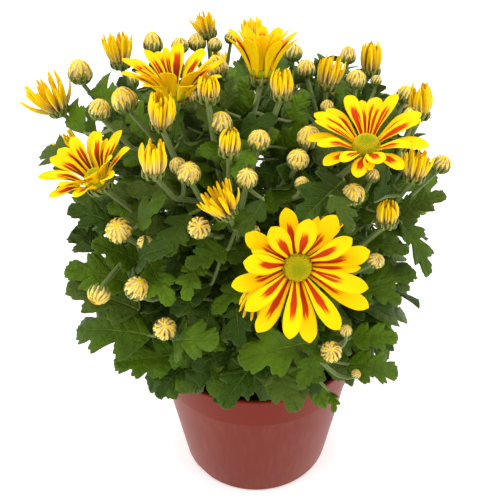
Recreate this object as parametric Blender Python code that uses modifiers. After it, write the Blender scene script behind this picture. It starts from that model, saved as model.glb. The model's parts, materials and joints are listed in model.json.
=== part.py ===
"""A chrysanthemum in a plastic nursery pot, in metres, +Z up.

The origin is the middle of the pot's underside. Five rooted cuttings stand in holes in the soil, and each
branches into the stalks of its own flower heads. A cutting with its leaves, calyxes and closed buds is one
solid. The yellow part of each opening head, and each open bloom and its disc, is a solid of its own.
"""

import math
import random

import bmesh
import bpy
from mathutils import Matrix, Vector
from mathutils.bvhtree import BVHTree

# Pot and soil
POT_HEIGHT = 0.098
POT_TOP_RADIUS = 0.0650
POT_BASE_RADIUS = 0.0495
POT_WALL = 0.0013
POT_FLOOR = 0.0016
POT_BAND_HEIGHT = 0.024
POT_BAND_STEP = 0.0009
POT_LIP = 0.0008
POT_STEPS = 20
DRAIN_COUNT = 4
DRAIN_RADIUS = 0.0035
DRAIN_RING = 0.030
NOTCH_ANGLES = (225.0, 345.0, 105.0)
NOTCH_WIDTH = 0.014
NOTCH_HEIGHT = 0.0035
NOTCH_DEPTH = 0.0009
SOIL_LEVEL = 0.084
SOIL_LUMP = 0.0022
GAP = 0.0003
MERGE = 0.00001
SCRAP_POINTS = 12

# Crown: a rounded barrel that the flower heads stand on
CROWN_MIDDLE = 0.168
CROWN_RADIUS = 0.102
CROWN_HALF_HEIGHT = 0.098
CROWN_POWER = 3.0

# Cuttings
CUTTINGS = 5
FIRST_CUTTING_ANGLE = -90.0
CUTTING_RING = 0.027
CUTTING_RADIUS = 0.0030
CUTTING_DEPTH = 0.030
FORK_HEIGHT = 0.118
FORK_RING = 0.036

# Where the eye stands that sees the plant as it is pictured: 500 columns and rows
EYE = Vector((0.0, -0.300, 0.341))
EYE_PITCH = math.radians(31.8)
EYE_FOCAL = 601.0
EYE_COLUMN = 256.0
EYE_ROW = 250.0
EYE_RIGHT = Vector((1.0, 0.0, 0.0))
EYE_UP = Vector((0.0, math.sin(EYE_PITCH), math.cos(EYE_PITCH)))
EYE_AHEAD = Vector((0.0, math.cos(EYE_PITCH), -math.sin(EYE_PITCH)))
NEAREST_SIGHT = 0.12
FARTHEST_SIGHT = 0.50
SIGHT_STEP = 0.002

# Open blooms: column and row of the disc, lean in the picture (clockwise from up), tilt towards the eye,
# length of the ray petals, how steeply they rise, how wide they are as a share of the widest, how much
# longer they are on the leaning side, and how far out of the crown the bloom stands
BLOOMS = (
    ("front", 295, 262, 155, 72, 0.0270, 26, 0.88, 0.17, 1.12),
    ("right", 366, 159, 0, 40, 0.0242, 20, 0.82, 0.40, 1.06),
    ("left", 104, 190, -35, 30, 0.0230, 44, 0.84, 0.17, 1.06),
    ("rear_left", 176, 108, -4, 22, 0.0270, 48, 0.78, 0.15, 0.96),
    ("rear_middle", 261, 86, 2, 14, 0.0250, 70, 0.70, 0.08, 1.00),
)
FAR_PETAL_WIDTH, FAR_PETAL_UNEVEN = 0.88, 0.17

# Opening heads: middle of the head, lean, tilt, whole length, splay of the florets, stand, and how stout
BRUSHES = (
    (52, 98, -30, 15, 0.0205, 26, 1.00, 0.88),
    (119, 51, -8, 14, 0.0200, 16, 1.00, 0.88),
    (206, 27, -15, 12, 0.0140, 14, 0.95, 0.85),
    (161, 113, 0, 38, 0.0165, 6, 1.12, 0.72),
    (208, 90, 2, 24, 0.0115, 2, 1.14, 0.78),
    (153, 162, 0, 30, 0.0150, 5, 1.12, 0.74),
    (230, 144, 5, 28, 0.0115, 2, 1.09, 0.72),
    (221, 204, -35, 38, 0.0150, 22, 1.06, 0.78),
    (329, 74, 12, 14, 0.0165, 8, 1.02, 0.82),
    (371, 61, 2, 12, 0.0180, 5, 1.00, 0.85),
    (421, 104, 3, 15, 0.0170, 7, 1.02, 0.76),
    (416, 168, 12, 22, 0.0145, 12, 1.02, 0.78),
    (282, 86, 3, 20, 0.0130, 3, 1.11, 0.72),
    (387, 215, 5, 32, 0.0125, 2, 1.04, 0.78),
    (257, 300, 185, 35, 0.0140, 18, 1.04, 0.80),
    (323, 228, 35, 35, 0.0145, 20, 0.98, 0.80),
    (69, 146, -45, 5, 0.0140, 14, 0.86, 0.74),
)

# Closed buds: middle of the bud, lean, tilt, breadth, how pointed it is, stand
BUDS = (
    (80, 74, -5, 20, 0.0120, 0.5, 1.00),
    (125, 102, -20, 20, 0.0115, 0.4, 1.03),
    (100, 111, 0, 25, 0.0100, 0.3, 1.04),
    (153, 45, -5, 12, 0.0105, 0.6, 1.00),
    (180, 46, -5, 12, 0.0095, 0.0, 1.00),
    (197, 43, 0, 20, 0.0100, 0.3, 1.01),
    (215, 45, 0, 12, 0.0080, 0.0, 1.00),
    (231, 38, 0, 12, 0.0075, 0.0, 1.00),
    (218, 70, -15, 15, 0.0100, 0.7, 0.99),
    (221, 124, 0, 25, 0.0095, 0.3, 0.99),
    (189, 174, 0, 45, 0.0095, 0.2, 1.03),
    (119, 231, -20, 65, 0.0110, 0.2, 1.04),
    (199, 228, 0, 75, 0.0090, 0.0, 1.03),
    (247, 179, 0, 45, 0.0085, 0.2, 1.04),
    (259, 141, 5, 35, 0.0090, 0.2, 1.01),
    (293, 53, 5, 12, 0.0100, 0.0, 0.98),
    (306, 70, 0, 18, 0.0090, 0.3, 0.97),
    (348, 57, 0, 12, 0.0085, 0.6, 1.00),
    (356, 80, 5, 25, 0.0090, 0.2, 1.02),
    (309, 138, 0, 40, 0.0100, 0.2, 0.97),
    (298, 160, 5, 45, 0.0090, 0.1, 0.99),
    (353, 195, 0, 45, 0.0095, 0.1, 1.02),
    (405, 96, 15, 15, 0.0095, 0.4, 0.96),
    (411, 120, -5, 20, 0.0090, 0.6, 0.98),
    (441, 165, 20, 25, 0.0095, 0.2, 1.00),
    (376, 261, 20, 45, 0.0070, 0.0, 1.02),
    (331, 352, 0, 78, 0.0095, 0.0, 1.04),
    (99, 294, 190, 30, 0.0100, 0.0, 1.09),
    (137, 289, 20, 50, 0.0105, 0.2, 1.06),
    (165, 329, 0, 75, 0.0100, 0.0, 1.06),
)

# Open blooms: the core that the petals leave, and the petals. Their outline gives a share of the length, the
# share of the half width there, and the most that a petal may be wide against its place in the ring
PETALS = 16
CORE_RADIUS = 0.0058
CORE_FOOT = 0.0050
CORE_HEIGHT = 0.0032
PETAL_HALF_WIDTH = 0.0043
PETAL_HALF_THICKNESS = 0.0004
PETAL_OUTLINE = ((0.18, 0.36, 0.80), (0.68, 1.0, 1.60), (1.0, 0.45, 1.60))
PETAL_LAYER_RISE = 12.0
PETAL_LAYER_STEP = 0.0010
PETAL_BELLY = 0.0010
PETAL_STEEPEST = math.radians(72.0)
PETAL_CURL = 0.16
DISC_RADIUS = 0.0052
CUP_RISE, CUP_DISC_RADIUS = 43.0, 0.0040
DISC_HEIGHT = 0.0030
DISC_RIPPLE = 0.0002
DISC_RIPPLES_ROUND = 5
DISC_RIPPLE_PITCH = 0.0039

# Opening heads, and the green cup under a head: its depth, foot radius and brim radius
BRUSH_FLORETS = 7
BRUSH_CORE_FOOT = 0.0052
BRUSH_CORE_TOP = 0.0046
BRUSH_CORE_SHARE = 0.42
BRUSH_TIP_HALF_WIDTH = 0.0010
BRUSH_TIP_HALF_THICKNESS = 0.0006
BUD_FULL = 1.10
BUD_FLAT = 0.90
BUD_POINT = 0.40
CALYX = {"bloom": (0.0040, 0.0016, 0.0056), "brush": (0.0050, 0.0018, 0.0056)}

# The far side, which the picture doesn't show: blooms by angle round the pot, height, petal length and
# rise, opening heads by angle and height, and buds by rule
FAR_BLOOMS = ((66.0, 0.202, 0.0270, 20), (120.0, 0.186, 0.0260, 32))
FAR_BRUSHES = ((28.0, 0.222), (92.0, 0.256), (104.0, 0.232))
FAR_BRUSH_STOUT = 0.80
FAR_BUD_COUNT = 8
FAR_BUD_SIZES = (0.0095, 0.0065, 0.0085)
FAR_LOW, FAR_HIGH = 0.165, 0.262
FAR_FIRST, FAR_LAST = 5.0, 175.0
FAR_LEAN, FAR_RISE, FAR_RISE_MORE = 0.60, 0.55, 6.0
FAR_SHIFTS = (0.0, 0.014, -0.014, 0.028, -0.028)

# Large leaves as pictured: columns and rows of the base and of the tip, stand of the base and of the tip
PICTURED_LEAVES = (
    (122, 226, 68, 209, 0.86, 1.04),
    (138, 262, 92, 243, 0.90, 1.06),
    (132, 284, 65, 270, 0.88, 1.10),
    (140, 311, 67, 286, 0.92, 1.14),
    (152, 336, 76, 330, 0.90, 1.10),
    (180, 355, 114, 364, 0.84, 1.04),
    (182, 366, 158, 398, 0.86, 1.02),
    (166, 341, 212, 340, 0.92, 1.06),
    (262, 354, 222, 407, 0.90, 1.12),
    (270, 358, 298, 411, 0.92, 1.12),
    (319, 346, 300, 386, 0.98, 1.14),
    (308, 343, 240, 361, 0.92, 1.10),
    (346, 364, 398, 373, 0.88, 1.04),
    (350, 338, 398, 338, 0.90, 1.04),
    (358, 286, 401, 303, 0.92, 1.08),
    (400, 222, 428, 276, 0.88, 1.04),
    (366, 246, 409, 252, 0.94, 1.10),
    (399, 214, 445, 194, 0.88, 1.06),
    (84, 166, 42, 152, 0.88, 1.06),
    (90, 205, 58, 186, 0.86, 1.02),
    (110, 112, 104, 76, 0.86, 0.96),
    (290, 122, 306, 90, 0.88, 0.98),
    (344, 180, 300, 222, 0.92, 1.06),
    (200, 262, 186, 300, 0.92, 1.06),
    (212, 300, 206, 346, 0.94, 1.08),
    (330, 392, 334, 412, 0.94, 1.04),
    (190, 214, 166, 256, 0.90, 1.04),
    (228, 250, 186, 266, 0.88, 1.02),
    (236, 300, 240, 346, 0.90, 1.04),
    (330, 196, 352, 232, 0.96, 1.06),
    (150, 262, 172, 304, 0.92, 1.06),
    (330, 130, 322, 164, 0.80, 0.92),
)

# Smaller leaves as pictured, in the same way
PICTURED_SMALL_LEAVES = (
    (136, 106, 119, 77, 0.86, 0.97),
    (86, 134, 75, 101, 0.86, 0.97),
    (98, 142, 93, 102, 0.82, 0.92),
    (120, 144, 112, 108, 0.82, 0.92),
    (150, 142, 140, 100, 0.80, 0.92),
    (226, 112, 233, 76, 0.84, 0.96),
    (252, 110, 240, 79, 0.84, 0.96),
    (238, 136, 278, 118, 0.86, 0.98),
    (318, 120, 288, 116, 0.84, 0.94),
    (222, 136, 197, 108, 0.84, 0.95),
    (350, 106, 338, 82, 0.84, 0.96),
    (366, 102, 386, 86, 0.86, 0.97),
    (392, 184, 404, 158, 0.88, 0.98),
    (374, 202, 386, 170, 0.88, 0.98),
    (176, 142, 184, 110, 0.80, 0.92),
    (100, 250, 72, 232, 0.86, 1.00),
    (140, 264, 172, 248, 0.90, 1.02),
    (144, 277, 182, 272, 0.88, 1.00),
    (138, 226, 166, 196, 0.98, 1.06),
    (264, 200, 242, 236, 1.00, 1.06),
    (250, 150, 236, 180, 0.94, 1.02),
    (212, 284, 170, 312, 0.86, 0.98),
    (246, 282, 212, 314, 0.84, 0.98),
    (248, 312, 222, 340, 0.86, 1.00),
)

# Leaves by rule: they spread evenly over the crown, and are larger and hang more low down. First and last
# turn round the pot, and number; the side that is pictured has its own leaves as well
CROWN_SPANS = ((-145.0, -35.0, 5), (-35.0, 215.0, 17))
CROWN_DEEPEST, CROWN_OUTMOST = 0.70, 0.99
LEAF_LOW, LEAF_HIGH = 0.112, 0.232
LEAF_LENGTH_LOW, LEAF_LENGTH_HIGH = 0.052, 0.034
LEAF_RISE_LOW, LEAF_RISE_HIGH = -35.0, 40.0
LEAF_STALK_LONGEST = 0.030
SKIRT_PER_CUTTING = 3
SKIRT_FRONT_SHORTER = 0.022
LOWEST_ROW = 412.0
STALK_RUN_IN = 0.012
STALK_TURN_IN = 0.013
STALK_STEEP, STALK_FLAT_COST = 0.85, 0.06
STALK_SINK = 0.0018
STALK_TWO_RUNS = 0.058
STALK_CHOICES = 40
FORK_APART = 0.007
STEM_CLEARANCE = 0.0004
LEAF_THICKNESS = 0.0008
LEAF_STALK_RADIUS = 0.0010
LEAF_CLEARANCE = 0.0024
LEAF_NUDGES = [(side, out) for side in (0.0, 7.0, -7.0) for out in (0.0, 0.04, -0.04, 0.08, -0.08, 0.12, -0.12)]
GOLDEN_SHARE = 0.382
SEED = 41

# Half outline of a leaf, from its base to its tip: each point's place along the leaf and its distance from
# the midrib, as shares of the leaf's length
LARGE_LEAF = (
    (0.02, 0.035),
    (0.27, 0.320),
    (0.39, 0.115),
    (0.63, 0.310),
    (0.73, 0.140),
)
SMALL_LEAF = (
    (0.03, 0.035),
    (0.42, 0.280),
    (0.58, 0.130),
)

GREEN = ("leaf_green", (0.085, 0.155, 0.012), 0.55)
YELLOW = ("petal_yellow", (0.95, 0.62, 0.01), 0.50)
OPENING = ("opening_yellow", (0.90, 0.60, 0.08), 0.55)
DISC = ("disc_green", (0.52, 0.42, 0.02), 0.70)
PLASTIC = ("pot_plastic", (0.30, 0.065, 0.045), 0.42)
PEAT = ("peat", (0.030, 0.018, 0.010), 0.95)


class Head:
    """A flower head: where its stalk ends, the way it faces, and its size."""

    def __init__(self, name, kind, base, axis, size, shape=0.0, petals=None, stout=1.0):
        self.name = name
        self.kind = kind
        self.base = base
        self.axis = axis
        self.size = size
        self.shape = shape
        self.petals = petals
        self.stout = stout
        self.cutting = cutting_of(base)


class Stem:
    """A stem or stalk: straight runs from joint to joint, and its radius at the start and the end."""

    def __init__(self, cutting, joints, radius, end_radius, head=None):
        self.cutting = cutting
        self.joints = joints
        self.radius = radius
        self.end_radius = end_radius
        self.head = head

    def run_at(self, share):
        """The number of the run that a share of the way is in, and the share of that run."""
        runs = len(self.joints) - 1
        run = min(int(share * runs), runs - 1)
        return run, share * runs - run

    def at(self, share):
        run, rest = self.run_at(share)
        return self.joints[run].lerp(self.joints[run + 1], rest)

    def along(self, share):
        run = self.run_at(share)[0]
        return (self.joints[run + 1] - self.joints[run]).normalized()

    def radius_at(self, share):
        return self.radius + (self.end_radius - self.radius) * share


class Leaf:
    """A leaf: the foot of its stalk, its base, tip and upward direction, and its sizes."""

    def __init__(self, cutting, foot, base, tip, up, lobes, width, arch, fold):
        self.cutting = cutting
        self.foot = foot
        self.base = base
        self.tip = tip
        self.up = up
        self.lobes = lobes
        self.width = width
        self.arch = arch
        self.fold = fold


def on_curve(controls, share):
    a, b, c, d = controls
    rest = 1.0 - share
    return a * rest**3 + b * (3 * rest * rest * share) + c * (3 * rest * share * share) + d * share**3


def sight_line(column, row):
    across = (column - EYE_COLUMN) / EYE_FOCAL
    above = (EYE_ROW - row) / EYE_FOCAL
    return (EYE_AHEAD + EYE_RIGHT * across + EYE_UP * above).normalized()


def row_of(point):
    """The row at which the eye sees a point."""
    way = point - EYE
    return EYE_ROW - EYE_FOCAL * way.dot(EYE_UP) / way.dot(EYE_AHEAD)


def crown_depth(point, stand):
    """Below 1 inside the crown when it is scaled by stand, above 1 outside it."""
    out = math.hypot(point.x, point.y) / (CROWN_RADIUS * stand)
    high = abs(point.z - CROWN_MIDDLE) / (CROWN_HALF_HEIGHT * stand)
    return out**CROWN_POWER + high**CROWN_POWER


def seen_on_crown(column, row, stand):
    """Where the eye's line through that column and row meets the crown, or passes nearest to it."""
    line = sight_line(column, row)
    nearest, least = NEAREST_SIGHT, 1e9
    distance = NEAREST_SIGHT
    while distance < FARTHEST_SIGHT:
        depth = crown_depth(EYE + line * distance, stand)
        if depth < 1.0:
            return EYE + line * distance
        if depth < least:
            nearest, least = distance, depth
        distance += SIGHT_STEP
    return EYE + line * nearest


def facing(point, lean, tilt):
    """The direction that leans so in the picture and tilts so far towards the eye."""
    toward = (EYE - point).normalized()
    lean_way = leaning(point, lean)
    tilt = math.radians(tilt)
    return (lean_way * math.cos(tilt) + toward * math.sin(tilt)).normalized()


def leaning(point, lean):
    """The direction square to the eye's line that leans so far clockwise from up in the picture."""
    toward = (EYE - point).normalized()
    upright = (EYE_UP - toward * EYE_UP.dot(toward)).normalized()
    lean = math.radians(lean)
    return upright * math.cos(lean) + upright.cross(toward) * math.sin(lean)


def polar(radius, degrees, height):
    turn = math.radians(degrees)
    return Vector((radius * math.cos(turn), radius * math.sin(turn), height))


def cutting_of(point):
    """The number of the cutting whose sector of the pot the point is in."""
    share = 360.0 / CUTTINGS
    turn = math.degrees(math.atan2(point.y, point.x)) - FIRST_CUTTING_ANGLE + share / 2
    return int(turn % 360.0 // share)


def crown_radius_at(height):
    high = min(0.995, abs(height - CROWN_MIDDLE) / CROWN_HALF_HEIGHT)
    return CROWN_RADIUS * (1.0 - high**CROWN_POWER) ** (1.0 / CROWN_POWER)


def far_place(degrees, height):
    """A place on the far side of the crown, and the way that a head there faces."""
    base = polar(crown_radius_at(height), degrees, height)
    outward = polar(1.0, degrees, 0.0)
    axis = outward * FAR_LEAN + Vector((0.0, 0.0, 1.0)) * (FAR_RISE + FAR_RISE_MORE * (height - FAR_LOW))
    return base, axis.normalized()


def near(head, other):
    """Whether the spaces that two heads take up meet."""
    return bool(tree_of(*head_envelope(head)).overlap(tree_of(*head_envelope(other))))


def plan_heads():
    heads = []
    for name, column, row, lean, tilt, length, rise, width, uneven, stand in BLOOMS:
        base = seen_on_crown(column, row, stand)
        petals = (width, leaning(base, lean) * uneven)
        heads.append(Head("bloom_" + name, "bloom", base, facing(base, lean, tilt), length, rise, petals))
    for i, (degrees, height, length, rise) in enumerate(FAR_BLOOMS):
        base, axis = far_place(degrees, height)
        petals = (FAR_PETAL_WIDTH, Vector((0.0, 0.0, FAR_PETAL_UNEVEN)))
        heads.append(Head(f"bloom_far_{i + 1}", "bloom", base * 1.02, axis, length, rise, petals))
    for i, (column, row, lean, tilt, length, splay, stand, stout) in enumerate(BRUSHES):
        middle = seen_on_crown(column, row, stand)
        axis = facing(middle, lean, tilt)
        base = middle - axis * length * 0.5
        heads.append(Head(f"opening_{i + 1:02d}", "brush", base, axis, length, splay, stout=stout))
    for i, (degrees, height) in enumerate(FAR_BRUSHES):
        base, axis = far_place(degrees, height)
        heads.append(Head(f"opening_far_{i + 1}", "brush", base, axis, 0.0160, 6 + 4 * i, stout=FAR_BRUSH_STOUT))
    for i, (column, row, lean, tilt, breadth, point, stand) in enumerate(BUDS):
        middle = seen_on_crown(column, row, stand)
        axis = facing(middle, lean, tilt)
        base = middle - axis * breadth * 0.45
        heads.append(Head(f"bud_{i + 1:02d}", "bud", base, axis, breadth, point))
    for i in range(FAR_BUD_COUNT):
        share = (i + 0.5) / FAR_BUD_COUNT
        height = FAR_LOW + (FAR_HIGH - FAR_LOW) * (i * 0.618 % 1.0)
        turn = FAR_FIRST + (FAR_LAST - FAR_FIRST) * share
        size = FAR_BUD_SIZES[i % len(FAR_BUD_SIZES)]
        for shift in FAR_SHIFTS:
            base, axis = far_place(turn, height + shift)
            bud = Head(f"bud_far_{i + 1:02d}", "bud", base, axis, size, 0.2 * (i % 3))
            if not any(near(bud, head) for head in heads):
                heads.append(bud)
                break
    return heads


def plan_stems(heads, obstacles):
    """The cuttings' own stems, then a stalk for each head, which leaves the stem that it fits best."""
    branches = {}
    for cutting in range(CUTTINGS):
        degrees = FIRST_CUTTING_ANGLE + 360.0 / CUTTINGS * cutting
        joints = [
            polar(CUTTING_RING, degrees, SOIL_LEVEL - CUTTING_DEPTH),
            polar(CUTTING_RING, degrees, SOIL_LEVEL + 0.004),
            polar((CUTTING_RING + FORK_RING) / 2 - 0.002, degrees, (SOIL_LEVEL + FORK_HEIGHT) / 2 + 0.003),
            polar(FORK_RING, degrees, FORK_HEIGHT),
        ]
        trunk = Stem(cutting, joints, CUTTING_RADIUS, CUTTING_RADIUS * 0.8)
        branches[cutting] = [trunk]
        obstacles.add_stem(trunk)
    for head in sorted(heads, key=lambda head: -head.base.z):
        stalk = stalk_to(head, branches[head.cutting], obstacles)
        branches[head.cutting].append(stalk)
        obstacles.add_stem(stalk)
    return [stem for cutting in range(CUTTINGS) for stem in branches[cutting]]


def stalk_to(head, branches, obstacles):
    """The stalk that reaches a head from the branch that lies best for it and leaves the way clear."""
    run_in = head.base - head.axis * STALK_RUN_IN
    choices = []
    for branch in branches:
        is_trunk = branch.head is None
        first, last = (0.72, 1.0) if is_trunk else (0.12, 0.62)
        for step in range(9):
            share = first + (last - first) * step / 8
            way = run_in - branch.at(share)
            bend = branch.along(share).angle(way, 0.0)
            cost = way.length + 0.035 * bend + (0.06 if way.length < 0.018 else 0.0)
            cost += max(0.0, branch.at(share).z + 0.006 - run_in.z) * 1.5
            cost += max(0.0, STALK_STEEP - way.normalized().z) * STALK_FLAT_COST
            crowd = min([(branch.at(share) - other.at(0.0)).length for other in branches[1:]], default=1.0)
            cost += max(0.0, FORK_APART - crowd) * 6.0
            choices.append((cost, len(choices), branch, share))
    choices.sort()
    stalks = []
    for cost, order, branch, share in choices[:STALK_CHOICES]:
        stalks.append(stalk_from(branch, share, head))
        if not obstacles.blocks(head.cutting, *stem_envelope(stalks[-1], STEM_CLEARANCE), head):
            return stalks[-1]
    return stalks[0]


def stalk_from(branch, share, head):
    start = branch.at(share)
    reach = (head.base - start).length
    run_in = head.base - head.axis * STALK_RUN_IN
    lead = (branch.along(share) * 0.35 + (run_in - start).normalized()).normalized()
    end = head.base + head.axis * STALK_SINK
    turn_in = min(reach * 0.36, STALK_TURN_IN)
    controls = (start, start + lead * reach * 0.34, head.base - head.axis * turn_in, end)
    slim = 0.0009 if head.kind == "bud" and head.size < 0.008 else 0.0012
    radius = min(branch.radius_at(share) * 0.86, 0.0012 + 0.012 * reach)
    runs = 2 if reach < STALK_TWO_RUNS else 3
    joints = [on_curve(controls, i / runs) for i in range(runs + 1)]
    return Stem(head.cutting, joints, max(radius, slim), slim, head)


def nearest_on_stems(point, stems, cutting):
    best, least = None, 1e9
    for stem in stems:
        if stem.cutting != cutting:
            continue
        for step in range(17):
            place = stem.at(step / 16)
            if place.z < SOIL_LEVEL + 0.012:
                continue
            away = (place - point).length
            if away < least:
                best, least = place, away
    return best


def outward_of(point):
    level = Vector((point.x, point.y, 0.0))
    return level.normalized() if level.length > 1e-6 else Vector((0.0, -1.0, 0.0))


def upward_for(base, tip):
    """A leaf's upper face looks up and out of the crown."""
    way = (tip - base).normalized()
    middle = (base + tip) / 2
    look = Vector((0.0, 0.0, 1.0)) * 0.9 + outward_of(middle) * 0.75
    return (look - way * look.dot(way)).normalized()


def leaf_of(cutting, foot, base, tip, lobes, draw):
    width = draw.uniform(0.92, 1.12)
    arch = draw.uniform(0.06, 0.16)
    fold = draw.uniform(0.10, 0.30)
    return Leaf(cutting, foot, base, tip, upward_for(base, tip), lobes, width, arch, fold)


def leaf_rows(leaf):
    """The rows of a leaf's sheet, from the foot of its stalk to its tip: a left and a right point each."""
    way = leaf.tip - leaf.base
    length = way.length
    way.normalize()
    side = way.cross(leaf.up)

    def place(along, aside):
        arch = leaf.up * length * leaf.arch * 4.0 * along * (1.0 - along)
        lift = leaf.up * abs(aside) * leaf.fold
        return leaf.base + way * along * length + side * aside + arch + lift

    stalk_way = (leaf.base - leaf.foot).normalized()
    stalk_side = stalk_way.cross(leaf.up).normalized() * LEAF_STALK_RADIUS
    rows = [(leaf.foot - stalk_side, leaf.foot + stalk_side)]
    for along, aside in leaf.lobes:
        half = aside * length * leaf.width
        rows.append((place(along, -half), place(along, half)))
    return rows, place(1.0, 0.0)


def leaf_sheet(leaf, with_stalk=True):
    """Points and triangles of a leaf's sheet."""
    rows, tip = leaf_rows(leaf)
    rows = rows if with_stalk else rows[1:]
    points = [point for row in rows for point in row] + [tip]
    faces = []
    for i in range(len(rows) - 1):
        left, right = 2 * i, 2 * i + 1
        faces += [(left, right, left + 2), (right, right + 2, left + 2)]
    last = 2 * len(rows)
    faces.append((last - 2, last - 1, last))
    return points, faces


def thickened(points, faces, thickness):
    """A closed blade: the sheet's own triangles above and below, alike, and a rim round its edge."""
    normals = [Vector() for _ in points]
    sides = {}
    for a, b, c in faces:
        normal = (points[b] - points[a]).cross(points[c] - points[a])
        for corner in (a, b, c):
            normals[corner] += normal
        for edge in ((a, b), (b, c), (c, a)):
            sides[edge] = True
    half = thickness / 2
    above = [p + n.normalized() * half for p, n in zip(points, normals)]
    below = [p - n.normalized() * half for p, n in zip(points, normals)]
    count = len(points)
    made = [tuple(face) for face in faces]
    made += [(c + count, b + count, a + count) for a, b, c in faces]
    for a, b in sides:
        if (b, a) not in sides:
            made += [(b, a, a + count), (b, a + count, b + count)]
    return above + below, made


def tree_of(points, faces):
    return BVHTree.FromPolygons(points, faces, all_triangles=True)


def turned_shell(head, profile, sides=10):
    """A closed surface turned round a head's axis, from (radius, height) pairs that start and end on it."""
    turn = axis_frame(head)
    points, faces = [], []
    for i in range(sides):
        angle = 2 * math.pi * i / sides
        for radius, height in profile:
            points.append(turn @ Vector((radius * math.cos(angle), radius * math.sin(angle), height)))
    rows = len(profile)
    for i in range(sides):
        j = (i + 1) % sides
        for k in range(rows - 1):
            a, b, c, d = i * rows + k, j * rows + k, j * rows + k + 1, i * rows + k + 1
            faces += [(a, b, c), (a, c, d)]
    return points, faces


def axis_frame(head):
    """The frame with its +Z along a head's axis and its origin where the stalk ends."""
    turn = head.axis.to_track_quat("Z", "Y").to_matrix().to_4x4()
    return Matrix.Translation(head.base) @ turn


def head_envelope(head):
    """A surface just outside the separate solids of a head."""
    if head.kind == "bloom":
        reach = (head.size - CORE_RADIUS) * (1.0 + 0.7 * head.petals[1].length) + 0.001
        low, high = math.radians(head.shape - 13.0), math.radians(head.shape + PETAL_LAYER_RISE + 2.0)
        profile = ((0.0, -0.001), (0.0066, 0.001), (0.0068, 0.0040))
        profile += ((CORE_RADIUS + reach * math.cos(low), 0.0042 + reach * math.sin(low)),)
        profile += ((CORE_RADIUS + reach * math.cos(high), 0.0082 + reach * math.sin(high)),)
        profile += ((0.0075, 0.0125), (0.0, 0.0125))
    elif head.kind == "brush":
        widest = 0.0070 * head.stout + head.size * 0.80 * math.sin(math.radians(head.shape))
        profile = ((0.0, -0.001), (0.0062 * head.stout, 0.001), (0.0070 * head.stout, 0.008))
        profile += ((widest, head.size + 0.002),)
        profile += ((0.0, head.size + 0.003),)
    else:
        half = head.size / 2
        profile = ((0.0, -0.001), (half + 0.001, half * 0.8), (0.0, head.size * 1.2))
    return turned_shell(head, profile)


def pot_envelope():
    pot = Head("pot", "pot", Vector(), Vector((0.0, 0.0, 1.0)), POT_HEIGHT)
    profile = ((0.0, 0.0), (POT_BASE_RADIUS, 0.0), (POT_TOP_RADIUS + 0.002, POT_HEIGHT + 0.002))
    profile += ((POT_TOP_RADIUS - 0.003, POT_HEIGHT + 0.001), (POT_TOP_RADIUS - 0.004, SOIL_LEVEL + 0.003))
    return turned_shell(pot, profile + ((0.0, SOIL_LEVEL + 0.004),), sides=24)


def stem_envelope(stem, radius_more):
    """A thin six-sided sleeve round a stem."""
    points, faces = [], []
    for i, place in enumerate(stem.joints):
        way = (stem.joints[min(i + 1, len(stem.joints) - 1)] - stem.joints[max(i - 1, 0)]).normalized()
        aside = way.orthogonal().normalized()
        other = way.cross(aside)
        radius = stem.radius_at(i / (len(stem.joints) - 1)) + radius_more
        for k in range(6):
            angle = math.pi * k / 3
            points.append(place + (aside * math.cos(angle) + other * math.sin(angle)) * radius)
    for i in range(len(stem.joints) - 1):
        for k in range(6):
            a, b = i * 6 + k, i * 6 + (k + 1) % 6
            faces += [(a, b, b + 6), (a, b + 6, a + 6)]
    return points, faces


class Obstacles:
    """What a cutting's stems and leaves stay clear of: the pot, the heads, and the other cuttings."""

    def __init__(self, heads):
        self.shared = [(None, tree_of(*pot_envelope()))]
        self.own = {cutting: [] for cutting in range(CUTTINGS)}
        self.stalks = {cutting: [] for cutting in range(CUTTINGS)}
        self.blades = {cutting: [] for cutting in range(CUTTINGS)}
        for head in heads:
            tree = tree_of(*head_envelope(head))
            if head.kind == "bud":
                self.own[head.cutting].append(tree)
            else:
                self.shared.append((head, tree))

    def blocks(self, cutting, points, faces, but_head=None):
        tree = tree_of(points, faces)
        for head, other in self.shared:
            if (head is None or head is not but_head) and tree.overlap(other):
                return True
        for number, others in self.own.items():
            if number != cutting and any(tree.overlap(other) for other in others):
                return True
        return False

    def add(self, cutting, points, faces):
        self.own[cutting].append(tree_of(points, faces))

    def add_stem(self, stem):
        self.add(stem.cutting, *stem_envelope(stem, STEM_CLEARANCE))
        self.stalks[stem.cutting].append(self.own[stem.cutting][-1])

    def admit(self, leaf):
        """Whether a leaf is clear; if it is, it becomes one of the obstacles."""
        if self.blocks(leaf.cutting, *thickened(*leaf_sheet(leaf), LEAF_CLEARANCE)):
            return False
        blade = tree_of(*thickened(*leaf_sheet(leaf, False), LEAF_THICKNESS))
        if any(blade.overlap(other) for other in self.blades[leaf.cutting] + self.stalks[leaf.cutting]):
            return False
        self.blades[leaf.cutting].append(blade)
        self.add(leaf.cutting, *thickened(*leaf_sheet(leaf), LEAF_THICKNESS))
        return True


def pictured_leaves(stems, obstacles, draw):
    """The leaves that the picture shows, each moved in, out or aside a little until it is clear."""
    leaves = []
    pictured = [(LARGE_LEAF, *values) for values in PICTURED_LEAVES]
    pictured += [(SMALL_LEAF, *values) for values in PICTURED_SMALL_LEAVES]
    for lobes, column, row, tip_column, tip_row, stand, tip_stand in pictured:
        for aside, nudge in LEAF_NUDGES:
            base = seen_on_crown(column + aside, row, stand + nudge)
            tip = seen_on_crown(tip_column + aside, tip_row, tip_stand + nudge * 0.7)
            cutting = cutting_of(base)
            leaf = leaf_of(cutting, nearest_on_stems(base, stems, cutting), base, tip, lobes, draw)
            if obstacles.admit(leaf):
                leaves.append(leaf)
                break
    return leaves


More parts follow.
